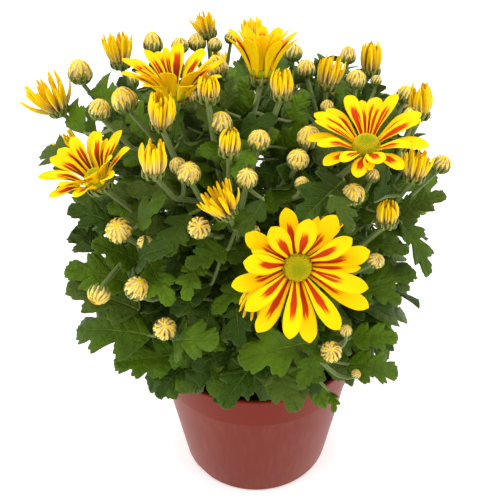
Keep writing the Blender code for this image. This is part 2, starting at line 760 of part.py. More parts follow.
def skirt_leaves(stems, obstacles, draw):
    """The lowest leaves, which lie out over the pot's rim all round."""
    leaves = []
    sector = 360.0 / CUTTINGS
    for i in range(CUTTINGS * SKIRT_PER_CUTTING):
        cutting = i // SKIRT_PER_CUTTING
        share = (i % SKIRT_PER_CUTTING + 0.5) / SKIRT_PER_CUTTING
        degrees = FIRST_CUTTING_ANGLE + sector * (cutting + share - 0.5)
        for trial in range(6):
            turn = degrees + draw.uniform(-6.0, 6.0)
            low = 0.106 + 0.010 * (i % 2) + 0.004 * trial
            base = polar(0.050, turn, low + 0.012)
            out = draw.uniform(0.088, 0.102) - SKIRT_FRONT_SHORTER * max(0.0, -math.sin(math.radians(turn)))
            tip = polar(out, turn + draw.uniform(-8.0, 8.0), low - 0.010)
            leaf = leaf_of(cutting, nearest_on_stems(base, stems, cutting), base, tip, SMALL_LEAF, draw)
            if row_of(tip) > LOWEST_ROW or cutting_of(base) != cutting:
                continue
            if obstacles.admit(leaf):
                leaves.append(leaf)
                break
    return leaves


def crown_leaves(stems, obstacles, draw, first, last, count):
    """Leaves spread evenly over a span of the crown by the golden ratio, each with its tip inside it."""
    leaves = []
    for i in range(count):
        share = (i + 0.5) / count
        for trial in range(5):
            turn = first + (last - first) * (i * GOLDEN_SHARE % 1.0) + draw.uniform(-9.0, 9.0)
            leaf = crown_leaf(stems, draw, share, turn, 0.06 * trial)
            if leaf and obstacles.admit(leaf):
                leaves.append(leaf)
                break
    return leaves


def crown_leaf(stems, draw, share, turn, inward):
    """A leaf whose tip is at that share of the crown's height and that turn, or none if no stem is near."""
    height = LEAF_LOW + (LEAF_HIGH - LEAF_LOW) * share
    stand = draw.uniform(CROWN_DEEPEST, CROWN_OUTMOST) - inward
    length = (LEAF_LENGTH_LOW + (LEAF_LENGTH_HIGH - LEAF_LENGTH_LOW) * share) * draw.uniform(0.85, 1.15)
    rise = LEAF_RISE_LOW + (LEAF_RISE_HIGH - LEAF_RISE_LOW) * share + draw.uniform(-12.0, 12.0)
    rise = math.radians(rise)
    way = polar(math.cos(rise), turn + draw.uniform(-35.0, 35.0), math.sin(rise))
    tip = polar(crown_radius_at(height) * stand, turn, height)
    base = tip - way * length
    cutting = cutting_of(base)
    foot = nearest_on_stems(base, stems, cutting)
    if (foot - base).length > LEAF_STALK_LONGEST:
        return None
    return leaf_of(cutting, foot, base, tip, SMALL_LEAF, draw)


def plan_plant():
    heads = plan_heads()
    obstacles = Obstacles(heads)
    stems = plan_stems(heads, obstacles)
    draw = random.Random(SEED)
    leaves = pictured_leaves(stems, obstacles, draw)
    leaves += skirt_leaves(stems, obstacles, draw)
    for first, last, count in CROWN_SPANS:
        leaves += crown_leaves(stems, obstacles, draw, first, last, count)
    return heads, stems, leaves


def material(finish):
    name, colour, roughness = finish
    made = bpy.data.materials.get(name) or bpy.data.materials.new(name)
    made.use_nodes = True
    shader = made.node_tree.nodes["Principled BSDF"]
    shader.inputs["Base Color"].default_value = (*colour, 1.0)
    shader.inputs["Roughness"].default_value = roughness
    shader.inputs["Metallic"].default_value = 0.0
    return made


def new_object(name, mesh, finish, collection):
    made = bpy.data.objects.new(name, mesh)
    mesh.materials.clear()
    mesh.materials.append(material(finish))
    collection.objects.link(made)
    return made


def mesh_from(bm, name):
    bmesh.ops.recalc_face_normals(bm, faces=bm.faces)
    return mesh_of_right_way(bm, name)


def mesh_of_right_way(bm, name):
    """A mesh whose faces already point outwards."""
    mesh = bpy.data.meshes.new(name)
    bm.to_mesh(mesh)
    bm.free()
    return mesh


def turned(name, profile):
    """A closed solid: a profile of (radius, height) pairs, from the axis back to it, turned round +Z."""
    mesh = bpy.data.meshes.new(name)
    points = [(radius, 0.0, height) for radius, height in profile]
    mesh.from_pydata(points, [(i, i + 1) for i in range(len(points) - 1)], [])
    shape = bpy.data.objects.new(name, mesh)
    bpy.context.scene.collection.objects.link(shape)
    screw = shape.modifiers.new("turn", "SCREW")
    screw.steps = screw.render_steps = POT_STEPS
    screw.use_merge_vertices = True
    screw.merge_threshold = MERGE
    bpy.context.view_layer.update()
    made = bpy.data.meshes.new_from_object(shape.evaluated_get(bpy.context.evaluated_depsgraph_get()))
    bpy.data.objects.remove(shape)
    return made


def pot_radius(height):
    """Outer radius of the pot's wall below its rim band."""
    return POT_BASE_RADIUS + (POT_TOP_RADIUS - POT_BAND_STEP - POT_BASE_RADIUS) * height / POT_HEIGHT


def pot_profile():
    """From the middle of the floor up the inside, over the lip and down the outside."""
    band = POT_HEIGHT - POT_BAND_HEIGHT
    lip = POT_TOP_RADIUS + POT_LIP
    inner = [
        (0.0, POT_FLOOR),
        (POT_BASE_RADIUS - POT_WALL - 0.0012, POT_FLOOR),
        (POT_BASE_RADIUS - POT_WALL + 0.0004, POT_FLOOR + 0.0014),
        (pot_radius(band) - POT_WALL, band - 0.0006),
        (pot_radius(band) - POT_WALL + POT_BAND_STEP * 0.5, band + 0.0006),
        (POT_TOP_RADIUS - POT_WALL, POT_HEIGHT),
    ]
    outer = [
        (POT_TOP_RADIUS + POT_LIP * 0.4, POT_HEIGHT),
        (lip, POT_HEIGHT - 0.0005),
        (lip, POT_HEIGHT - 0.0018),
        (POT_TOP_RADIUS, POT_HEIGHT - 0.0022),
        (pot_radius(band) + POT_BAND_STEP, band + 0.0006),
        (pot_radius(band), band),
        (POT_BASE_RADIUS, 0.0018),
        (POT_BASE_RADIUS - 0.0018, 0.0),
        (0.0, 0.0),
    ]
    return inner + outer


def cutter(name, mesh, cutters):
    made = bpy.data.objects.new(name, mesh)
    made.hide_render = True
    made.display_type = "WIRE"
    cutters.objects.link(made)
    return made


def cylinder_mesh(name, radius, low, high, segments):
    bm = bmesh.new()
    bmesh.ops.create_cone(
        bm, cap_ends=True, segments=segments, radius1=radius, radius2=radius, depth=high - low
    )
    bmesh.ops.translate(bm, verts=bm.verts, vec=(0, 0, (low + high) / 2))
    return mesh_from(bm, name)


def cut_by(target, collection, name):
    cut = target.modifiers.new(name, "BOOLEAN")
    cut.operation = "DIFFERENCE"
    cut.operand_type = "COLLECTION"
    cut.collection = collection
    cut.solver = "EXACT"


def make_pot(parts):
    pot = new_object("pot", turned("pot", pot_profile()), PLASTIC, parts)
    cutters = new_collection("pot_cutters")
    for i in range(DRAIN_COUNT):
        mesh = cylinder_mesh("drain", DRAIN_RADIUS, -0.004, 0.006, 6)
        hole = cutter(f"drain_{i}", mesh, cutters)
        hole.location = polar(DRAIN_RING, 360.0 / DRAIN_COUNT * i + 15.0, 0.0)
    for i, degrees in enumerate(NOTCH_ANGLES):
        bm = bmesh.new()
        bmesh.ops.create_cube(bm, size=1.0)
        bmesh.ops.scale(bm, verts=bm.verts, vec=(0.010, NOTCH_WIDTH, NOTCH_HEIGHT * 2))
        notch = cutter(f"notch_{i}", mesh_from(bm, "notch"), cutters)
        notch.location = polar(POT_BASE_RADIUS - NOTCH_DEPTH + 0.005, degrees, 0.0)
        notch.rotation_euler.z = math.radians(degrees)
    cut_by(pot, cutters, "drains")
    pot.data.shade_smooth()
    pot.data.set_sharp_from_angle(angle=math.radians(30))


def make_soil(parts):
    """The peat that fills the pot, with a lumpy top and a hole for each cutting."""
    inside = POT_WALL + GAP
    band = POT_HEIGHT - POT_BAND_HEIGHT
    floor = POT_FLOOR + GAP
    edge = pot_radius(SOIL_LEVEL) - inside
    profile = [(edge * share, SOIL_LEVEL) for share in (0.0, 0.36, 0.80)]
    profile += [
        (edge, SOIL_LEVEL - 0.003),
        (pot_radius(band) - inside, band - 0.0006),
        (POT_BASE_RADIUS - inside + 0.0002, floor + 0.0018),
        (POT_BASE_RADIUS - inside - 0.0014, floor),
        (0.0, floor),
    ]
    soil = new_object("soil", turned("soil", profile), PEAT, parts)
    for vertex in soil.data.vertices:
        place = vertex.co
        if place.z > SOIL_LEVEL - 0.001:
            wave = math.sin(190.0 * place.x + 1.0) * math.sin(210.0 * place.y)
            place.z += SOIL_LUMP * (wave - 0.4)
    cutters = new_collection("soil_cutters")
    for cutting in range(CUTTINGS):
        low = SOIL_LEVEL - CUTTING_DEPTH - GAP
        mesh = cylinder_mesh("hole", CUTTING_RADIUS + GAP * 2, low, SOIL_LEVEL + 0.01, 8)
        hole = cutter(f"hole_{cutting}", mesh, cutters)
        hole.location = polar(CUTTING_RING, FIRST_CUTTING_ANGLE + 360.0 / CUTTINGS * cutting, 0.0)
    cut_by(soil, cutters, "holes")


def new_collection(name):
    made = bpy.data.collections.new(name)
    bpy.context.scene.collection.children.link(made)
    return made


def tube_mesh(name, path, radii, sides_level):
    """A closed tube along a path, by a bevelled curve whose caps are welded."""
    curve = bpy.data.curves.new(name, "CURVE")
    curve.dimensions = "3D"
    curve.bevel_depth = 1.0
    curve.bevel_resolution = sides_level
    curve.use_fill_caps = True
    spline = curve.splines.new("POLY")
    spline.points.add(len(path) - 1)
    for point, place, radius in zip(spline.points, path, radii):
        point.co = (*place, 1.0)
        point.radius = radius
    holder = bpy.data.objects.new(name, curve)
    bpy.context.scene.collection.objects.link(holder)
    bpy.context.view_layer.update()
    graph = bpy.context.evaluated_depsgraph_get()
    mesh = bpy.data.meshes.new_from_object(holder.evaluated_get(graph))
    bpy.data.objects.remove(holder)
    bpy.data.curves.remove(curve)
    bm = bmesh.new()
    bm.from_mesh(mesh)
    bmesh.ops.remove_doubles(bm, verts=bm.verts, dist=MERGE)
    bpy.data.meshes.remove(mesh)
    return mesh_from(bm, name)


def stem_mesh(stem):
    runs = len(stem.joints) - 1
    radii = [stem.radius_at(i / runs) for i in range(runs + 1)]
    return tube_mesh("stem", stem.joints, radii, 1 if stem.head is None else 0)


def leaf_mesh(leaf):
    points, faces = thickened(*leaf_sheet(leaf), LEAF_THICKNESS)
    mesh = bpy.data.meshes.new("leaf")
    mesh.from_pydata(points, [], faces)
    return mesh


def calyx(head):
    """The depth of the cup under a head, and its radius at the foot and at the brim."""
    return [length * head.stout for length in CALYX[head.kind]]


def calyx_mesh(head):
    """The green cup under an open or opening head; its flat top is at the end of the cup's height."""
    depth, foot, brim = calyx(head)
    bm = bmesh.new()
    bmesh.ops.create_cone(bm, cap_ends=True, segments=6, radius1=foot, radius2=brim, depth=depth)
    bmesh.ops.translate(bm, verts=bm.verts, vec=(0, 0, depth / 2))
    bmesh.ops.transform(bm, matrix=axis_frame(head), verts=bm.verts)
    return mesh_from(bm, "calyx")


def bud_mesh(head):
    """A closed bud: a flattened ball drawn up towards its top."""
    bm = bmesh.new()
    half = head.size / 2
    bmesh.ops.create_uvsphere(bm, u_segments=6, v_segments=3, radius=half)
    for vertex in bm.verts:
        place = vertex.co
        if place.z > 0.9 * half:
            place.z += head.size * BUD_POINT * head.shape
        elif abs(place.z) < 0.9 * half:
            place.xy *= BUD_FULL
        place.z = place.z * BUD_FLAT + half * BUD_FLAT
    bmesh.ops.transform(bm, matrix=axis_frame(head), verts=bm.verts)
    return mesh_from(bm, "bud")


def grow_blade(bm, face, steps):
    """Draws a side face out into a blade: each step gives its middle, half width and half thickness."""
    for middle, aside, through in steps:
        made = bmesh.ops.extrude_discrete_faces(bm, faces=[face])
        face = made["faces"][0]
        centre = face.calc_center_median()
        for corner in [loop.vert for loop in face.loops]:
            offset = corner.co - centre
            left = 1.0 if offset.dot(aside) > 0 else -1.0
            top = 1.0 if offset.dot(through) > 0 else -1.0
            corner.co = middle + aside * left + through * top


def ring_faces(bm):
    """The side faces of an upright cone, in order round it."""
    found = [face for face in bm.faces if abs(face.normal.z) < 0.9]
    found.sort(key=lambda face: math.atan2(face.calc_center_median().y, face.calc_center_median().x))
    return found


def bloom_mesh(head):
    """The ray petals of an open bloom, drawn out of a short core in two layers."""
    draw = random.Random(head.name)
    width, longer = head.petals
    longer = axis_frame(head).to_3x3().inverted() @ longer
    bm = bmesh.new()
    bmesh.ops.create_cone(
        bm, cap_ends=True, segments=PETALS, radius1=CORE_FOOT, radius2=CORE_RADIUS, depth=CORE_HEIGHT
    )
    bm.normal_update()
    for i, face in enumerate(ring_faces(bm)):
        centre = face.calc_center_median()
        out = Vector((centre.x, centre.y, 0.0)).normalized()
        side = Vector((0, 0, 1)).cross(out)
        upper = i % 2
        rise = math.radians(head.shape + PETAL_LAYER_RISE * upper + draw.uniform(-2.0, 2.0))
        length = (head.size - CORE_RADIUS) * (0.93 if upper else 1.0) * draw.uniform(0.94, 1.03)
        length *= 1.0 + out.dot(longer)
        twist = draw.uniform(-0.08, 0.08)
        steps = []
        for share, breadth, packing in PETAL_OUTLINE:
            slope = min(rise + PETAL_CURL * (1.0 - 2.0 * share), PETAL_STEEPEST)
            way = out * math.cos(slope) + Vector((0, 0, 1)) * math.sin(slope)
            through = way.cross(side)
            middle = centre + way * length * share + side * twist * length * share
            middle += out * PETAL_BELLY * math.sin(rise)
            middle += through * (PETAL_LAYER_STEP if upper else -PETAL_LAYER_STEP) * min(1.0, 2.0 * share)
            half_place = (CORE_RADIUS + length * share * math.cos(slope)) * math.pi / PETALS
            half = min(PETAL_HALF_WIDTH * width * breadth, half_place * packing)
            steps.append((middle, side * half, through * PETAL_HALF_THICKNESS))
        grow_blade(bm, face, steps)
    bmesh.ops.translate(bm, verts=bm.verts, vec=(0, 0, CALYX["bloom"][0] + GAP + CORE_HEIGHT / 2))
    bmesh.ops.transform(bm, matrix=axis_frame(head), verts=bm.verts)
    return mesh_of_right_way(bm, head.name)


def disc_radius(head):
    return CUP_DISC_RADIUS if head.shape > CUP_RISE else DISC_RADIUS


def disc_mesh(head):
    """The disc of tiny florets: a low dome with a ripple raised on it."""
    bm = bmesh.new()
    radius = disc_radius(head)
    bmesh.ops.create_uvsphere(bm, u_segments=2 * DISC_RIPPLES_ROUND, v_segments=6, radius=radius)
    for vertex in bm.verts:
        place = vertex.co
        around = math.cos(DISC_RIPPLES_ROUND * math.atan2(place.y, place.x))
        ripple = DISC_RIPPLE * around * math.sin(2 * math.pi * place.z / DISC_RIPPLE_PITCH)
        is_above = place.z > DISC_RIPPLE
        place.z = place.z * DISC_HEIGHT / radius + ripple if is_above else 0.0
    bmesh.ops.remove_doubles(bm, verts=bm.verts, dist=DISC_RIPPLE)
    low = [v for v in bm.verts if v.co.z < DISC_RIPPLE / 2]
    bmesh.ops.delete(bm, geom=[f for f in bm.faces if all(v in low for v in f.verts)], context="FACES_ONLY")
    bmesh.ops.holes_fill(bm, edges=[e for e in bm.edges if e.is_boundary], sides=0)
    lift = CALYX["bloom"][0] + CORE_HEIGHT + 2 * GAP
    bmesh.ops.translate(bm, verts=bm.verts, vec=(0, 0, lift))
    bmesh.ops.transform(bm, matrix=axis_frame(head), verts=bm.verts)
    return mesh_from(bm, head.name + "_disc")


def brush_mesh(head):
    """An opening head: narrow florets that stand out of a rounded core."""
    draw = random.Random(head.name)
    core = head.size * BRUSH_CORE_SHARE
    bm = bmesh.new()
    bmesh.ops.create_cone(
        bm,
        cap_ends=True,
        segments=BRUSH_FLORETS,
        radius1=BRUSH_CORE_FOOT * head.stout,
        radius2=BRUSH_CORE_TOP * head.stout,
        depth=core,
    )
    bmesh.ops.translate(bm, verts=bm.verts, vec=(0, 0, core / 2))
    bm.normal_update()
    for face in ring_faces(bm):
        centre = face.calc_center_median()
        out = Vector((centre.x, centre.y, 0.0)).normalized()
        side = Vector((0, 0, 1)).cross(out)
        splay = math.radians(head.shape * draw.uniform(0.6, 1.25))
        length = (head.size - 0.006) * draw.uniform(0.80, 1.05)
        way = out * math.sin(splay) + Vector((0, 0, 1)) * math.cos(splay)
        through = way.cross(side)
        tip = centre + out * 0.0016 * head.stout + Vector((0, 0, core * 0.25)) + way * length * 0.75
        half_width, half_thickness = BRUSH_TIP_HALF_WIDTH * head.stout, BRUSH_TIP_HALF_THICKNESS * head.stout
        grow_blade(bm, face, [(tip, side * half_width, through * half_thickness)])
    bmesh.ops.translate(bm, verts=bm.verts, vec=(0, 0, calyx(head)[0] + GAP))
    bmesh.ops.transform(bm, matrix=axis_frame(head), verts=bm.verts)
    return mesh_of_right_way(bm, head.name)


def without_scraps(mesh):
    """The mesh without the crumbs and doubled triangles that a union leaves where two faces just touch."""
    bm = bmesh.new()
    bm.from_mesh(mesh)
    bmesh.ops.triangulate(bm, faces=bm.faces)
    alike = {}
    for face in bm.faces:
        alike.setdefault(frozenset(face.verts), []).append(face)
    doubled = [face for faces in alike.values() if len(faces) > 1 for face in faces]
    bmesh.ops.delete(bm, geom=doubled, context="FACES")
    left = set(bm.verts)
    while left:
        island, edge = set(), [next(iter(left))]
        while edge:
            vertex = edge.pop()
            if vertex not in island:
                island.add(vertex)
                edge += [link.other_vert(vertex) for link in vertex.link_edges]
        left -= island
        if len(island) < SCRAP_POINTS:
            bmesh.ops.delete(bm, geom=list(island), context="VERTS")
    bm.to_mesh(mesh)
    bm.free()
    return mesh


def join_cutting(cutting, meshes, parts):
    """One solid from a cutting's stem, stalks, leaves, calyxes and buds."""
    repeats = new_collection(f"repeats_{cutting}")
    trunk = bpy.data.objects.new("trunk", meshes[0])
    bpy.context.scene.collection.objects.link(trunk)
    for mesh in meshes[1:]:
        repeats.objects.link(bpy.data.objects.new(mesh.name, mesh))
    join = trunk.modifiers.new("join", "BOOLEAN")
    join.operation = "UNION"
    join.operand_type = "COLLECTION"
    join.collection = repeats
    join.solver = "MANIFOLD"
    bpy.context.view_layer.update()
    graph = bpy.context.evaluated_depsgraph_get()
    joined = without_scraps(bpy.data.meshes.new_from_object(trunk.evaluated_get(graph)))
    for obj in [trunk, *repeats.objects]:
        bpy.data.objects.remove(obj)
    bpy.data.collections.remove(repeats)
    return new_object(f"cutting_{cutting + 1}", joined, GREEN, parts)


def main():
    for obj in list(bpy.data.objects):
        bpy.data.objects.remove(obj)
    parts = new_collection("pot_chrysanthemum")
    heads, stems, leaves = plan_plant()
    make_pot(parts)
    make_soil(parts)
    for cutting in range(CUTTINGS):
        meshes = [stem_mesh(stem) for stem in stems if stem.cutting == cutting]
        own = [head for head in heads if head.cutting == cutting]
        meshes += [bud_mesh(head) if head.kind == "bud" else calyx_mesh(head) for head in own]
        meshes += [leaf_mesh(leaf) for leaf in leaves if leaf.cutting == cutting]
        join_cutting(cutting, meshes, parts)
    for head in heads:
        if head.kind == "bloom":
            new_object(head.name, bloom_mesh(head), YELLOW, parts)
            new_object(head.name + "_disc", disc_mesh(head), DISC, parts)
        elif head.kind == "brush":
            new_object(head.name, brush_mesh(head), OPENING, parts)


main()
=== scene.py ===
import functools
import json
import math
import random
from typing import NamedTuple

import bmesh
import bpy
import numpy as np
from mathutils import Matrix, Vector, noise
from mathutils.bvhtree import BVHTree

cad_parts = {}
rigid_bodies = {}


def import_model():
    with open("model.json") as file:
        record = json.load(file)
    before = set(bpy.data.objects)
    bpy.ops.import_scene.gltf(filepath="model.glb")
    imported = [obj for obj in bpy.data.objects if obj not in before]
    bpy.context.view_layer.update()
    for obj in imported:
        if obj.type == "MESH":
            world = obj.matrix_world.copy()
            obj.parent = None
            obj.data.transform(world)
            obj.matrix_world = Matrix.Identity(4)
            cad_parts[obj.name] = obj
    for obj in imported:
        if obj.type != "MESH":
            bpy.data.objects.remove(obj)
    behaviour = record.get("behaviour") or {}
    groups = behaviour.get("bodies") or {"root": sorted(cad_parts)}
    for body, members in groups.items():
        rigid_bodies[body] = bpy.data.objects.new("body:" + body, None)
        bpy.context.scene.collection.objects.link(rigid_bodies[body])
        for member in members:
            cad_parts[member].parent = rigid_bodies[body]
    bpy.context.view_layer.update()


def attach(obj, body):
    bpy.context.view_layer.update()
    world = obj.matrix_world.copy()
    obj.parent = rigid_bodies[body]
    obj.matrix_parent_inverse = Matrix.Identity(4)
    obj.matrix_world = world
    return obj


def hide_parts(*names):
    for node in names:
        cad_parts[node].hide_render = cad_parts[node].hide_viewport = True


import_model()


def rgba(red, green, blue):
    """A colour with nothing see-through about it."""
    return (red, green, blue, 1.0)


UP = Vector((0.0, 0.0, 1.0))

# Colours
LEAF_DARK = rgba(0.022, 0.052, 0.001)
LEAF_MIDDLE = rgba(0.047, 0.092, 0.001)
LEAF_LIGHT = rgba(0.088, 0.172, 0.001)
# Grey-green painted sheen, which some leaves get at random
LEAF_PAINTED_SHEEN = rgba(0.078, 0.116, 0.014)
# Pale colour of the veins, also used as a painted highlight along the leaf edges
LEAF_VEIN_AND_EDGE_HIGHLIGHT = rgba(0.160, 0.230, 0.028)
LEAF_BENEATH = rgba(0.092, 0.142, 0.028)
STEM_DARK = rgba(0.100, 0.155, 0.026)
STEM_PALE = rgba(0.260, 0.320, 0.120)
BRACT_DARK = rgba(0.080, 0.135, 0.014)
BRACT_PALE = rgba(0.260, 0.320, 0.075)
BRACT_EDGE = rgba(0.240, 0.130, 0.050)
CORE_TAN = rgba(0.400, 0.320, 0.060)
CORE_BROWN = rgba(0.150, 0.130, 0.020)
PETAL_YELLOW = rgba(1.0, 0.665, 0.0)
PETAL_DEEP = rgba(1.0, 0.585, 0.0)
# Deeper gold, the painted shade towards the petals' bases
PETAL_GOLD_SHADE = rgba(0.94, 0.480, 0.001)
PETAL_BENEATH = rgba(1.0, 0.665, 0.002)
FLAME_RED = rgba(0.460, 0.010, 0.001)
FLAME_ORANGE = rgba(0.640, 0.045, 0.001)
FLAME_MAROON = rgba(0.080, 0.002, 0.001)
FLORET_YELLOW = rgba(1.0, 0.700, 0.002)
FLORET_GOLD = rgba(1.0, 0.620, 0.003)
FLORET_TAN = rgba(0.600, 0.430, 0.130)
FLORET_CREAM = rgba(0.910, 0.750, 0.240)
FLORET_BROWN = rgba(0.340, 0.180, 0.065)
DISC_OLIVE = rgba(0.300, 0.330, 0.004)
DISC_YELLOW = rgba(0.640, 0.500, 0.002)
DISC_RUST = rgba(0.400, 0.150, 0.004)
# The rim band's colour: the pot's own plastic, painted darker as painted shade
POT_BAND_SHADED = rgba(0.165, 0.016, 0.006)
POT_DARK = rgba(0.168, 0.028, 0.017)
# Pale colour of the pot's random mottling and of its painted reflections and sheen
POT_MOTTLE_AND_REFLECTION = rgba(0.262, 0.080, 0.058)
PEAT_DARK = rgba(0.010, 0.007, 0.004)
PEAT_BROWN = rgba(0.050, 0.030, 0.016)
FLOOR_WHITE = rgba(0.92, 0.92, 0.92)

# Shapes of leaves: half width at each place along the midrib, measured along the side veins, which slant
# forwards at these angles
LARGE_LEAF_WIDTHS = (
    (0.0, 0.05), (0.02, 0.20), (0.05, 0.34), (0.09, 0.385), (0.15, 0.38), (0.21, 0.34), (0.26, 0.24),
    (0.295, 0.145), (0.325, 0.24), (0.36, 0.37), (0.40, 0.41), (0.46, 0.395), (0.52, 0.32), (0.565, 0.215),
    (0.60, 0.205), (0.645, 0.26), (0.70, 0.27), (0.76, 0.245), (0.83, 0.19), (0.90, 0.12), (0.96, 0.055),
    (1.0, 0.004),
)
LARGE_LEAF_SLANTS = ((0.0, 60.0), (0.3, 52.0), (0.6, 42.0), (1.0, 25.0))
SMALL_LEAF_WIDTHS = (
    (0.0, 0.04), (0.03, 0.16), (0.08, 0.28), (0.14, 0.34), (0.20, 0.365), (0.28, 0.355), (0.36, 0.29),
    (0.42, 0.20), (0.46, 0.18), (0.50, 0.20), (0.56, 0.26), (0.63, 0.27), (0.70, 0.245), (0.78, 0.19),
    (0.86, 0.13), (0.93, 0.07), (1.0, 0.004),
)
SMALL_LEAF_SLANTS = ((0.0, 55.0), (0.5, 45.0), (1.0, 30.0))
LEAF_TEETH = 0.11
LEAF_VEINS = (0.12, 0.27, 0.42, 0.56, 0.70, 0.83)
LEAF_HALF_THICKNESS = 0.0048
STEM_RIBS = 8

# Shapes of petals and florets: half width at each place from base to tip
PETAL_WIDTHS = (
    (0.0, 0.045), (0.12, 0.055), (0.30, 0.092), (0.48, 0.138), (0.64, 0.164), (0.76, 0.162), (0.86, 0.150),
    (0.905, 0.138), (0.946, 0.119), (0.979, 0.090), (1.0, 0.040),
)
FLORET_WIDTHS = ((0.0, 0.045), (0.25, 0.062), (0.60, 0.066), (0.85, 0.060), (0.945, 0.049), (1.0, 0.018))
BUD_FLORET_WIDTHS = ((0.0, 0.075), (0.30, 0.112), (0.60, 0.105), (0.85, 0.070), (1.0, 0.022))
SCALE_WIDTHS = ((0.0, 0.15), (0.35, 0.21), (0.65, 0.17), (0.88, 0.085), (1.0, 0.015))

# What only the geometry trees need to know of a point
SPENT_ATTRIBUTES = ("turn", "size", "lift", "bend", "variant", "place", "radius")

# Pot and soil
POT_HEIGHT = 0.098
POT_TOP_RADIUS = 0.0650
POT_BASE_RADIUS = 0.0495
POT_WALL = 0.0013
POT_FLOOR = 0.0016
POT_BAND_HEIGHT = 0.024
POT_BAND_STEP = 0.0009
POT_LIP = 0.0008
DRAIN_COUNT = 4
DRAIN_RADIUS = 0.0035
DRAIN_RING = 0.030
NOTCH_ANGLES = (225.0, 345.0, 105.0)
NOTCH_WIDTH = 0.014
NOTCH_HEIGHT = 0.0035
NOTCH_DEPTH = 0.0009
SOIL_LEVEL = 0.084
SOIL_LUMP = 0.0022
GAP = 0.0003
MERGE = 0.00001

# Crown: a rounded barrel that the flower heads stand on
CROWN_MIDDLE = 0.168
CROWN_RADIUS = 0.102
CROWN_HALF_HEIGHT = 0.098
CROWN_POWER = 3.0

# Cuttings
CUTTINGS = 5
FIRST_CUTTING_ANGLE = -90.0
CUTTING_RING = 0.027
CUTTING_RADIUS = 0.0030
CUTTING_DEPTH = 0.030
FORK_HEIGHT = 0.118
FORK_RING = 0.036

# Where the eye stands that sees the plant as it is pictured: 500 columns and rows
EYE = Vector((0.0, -0.300, 0.341))
EYE_PITCH = math.radians(31.8)
EYE_FOCAL = 601.0
EYE_COLUMN = 256.0
EYE_ROW = 250.0
EYE_RIGHT = Vector((1.0, 0.0, 0.0))
EYE_UP = Vector((0.0, math.sin(EYE_PITCH), math.cos(EYE_PITCH)))
EYE_AHEAD = Vector((0.0, math.cos(EYE_PITCH), -math.sin(EYE_PITCH)))
NEAREST_SIGHT = 0.12
FARTHEST_SIGHT = 0.50
SIGHT_STEP = 0.002

# Open blooms: column and row of the disc, lean in the picture (clockwise from up), tilt towards the eye,
# length of the ray petals, how steeply they rise, how wide they are as a share of the widest, how much
# longer they are on the leaning side, and how far out of the crown the bloom stands
BLOOMS = (
    ("front", 295, 262, 155, 72, 0.0270, 26, 0.88, 0.17, 1.12),
    ("right", 366, 159, 0, 40, 0.0242, 20, 0.82, 0.40, 1.06),
    ("left", 104, 190, -35, 30, 0.0230, 44, 0.84, 0.17, 1.06),
    ("rear_left", 176, 108, -4, 22, 0.0270, 48, 0.78, 0.15, 0.96),
    ("rear_middle", 261, 86, 2, 14, 0.0250, 70, 0.70, 0.08, 1.00),
)
FAR_PETAL_WIDTH, FAR_PETAL_UNEVEN = 0.88, 0.17

# Opening heads: middle of the head, lean, tilt, whole length, splay of the florets, stand, and how stout
BRUSHES = (
    (52, 98, -30, 15, 0.0205, 26, 1.00, 0.88),
    (119, 51, -8, 14, 0.0200, 16, 1.00, 0.88),
    (206, 27, -15, 12, 0.0140, 14, 0.95, 0.85),
    (161, 113, 0, 38, 0.0165, 6, 1.12, 0.72),
    (208, 90, 2, 24, 0.0115, 2, 1.14, 0.78),
    (153, 162, 0, 30, 0.0150, 5, 1.12, 0.74),
    (230, 144, 5, 28, 0.0115, 2, 1.09, 0.72),
    (221, 204, -35, 38, 0.0150, 22, 1.06, 0.78),
    (329, 74, 12, 14, 0.0165, 8, 1.02, 0.82),
    (371, 61, 2, 12, 0.0180, 5, 1.00, 0.85),
    (421, 104, 3, 15, 0.0170, 7, 1.02, 0.76),
    (416, 168, 12, 22, 0.0145, 12, 1.02, 0.78),
    (282, 86, 3, 20, 0.0130, 3, 1.11, 0.72),
    (387, 215, 5, 32, 0.0125, 2, 1.04, 0.78),
    (257, 300, 185, 35, 0.0140, 18, 1.04, 0.80),
    (323, 228, 35, 35, 0.0145, 20, 0.98, 0.80),
    (69, 146, -45, 5, 0.0140, 14, 0.86, 0.74),
)

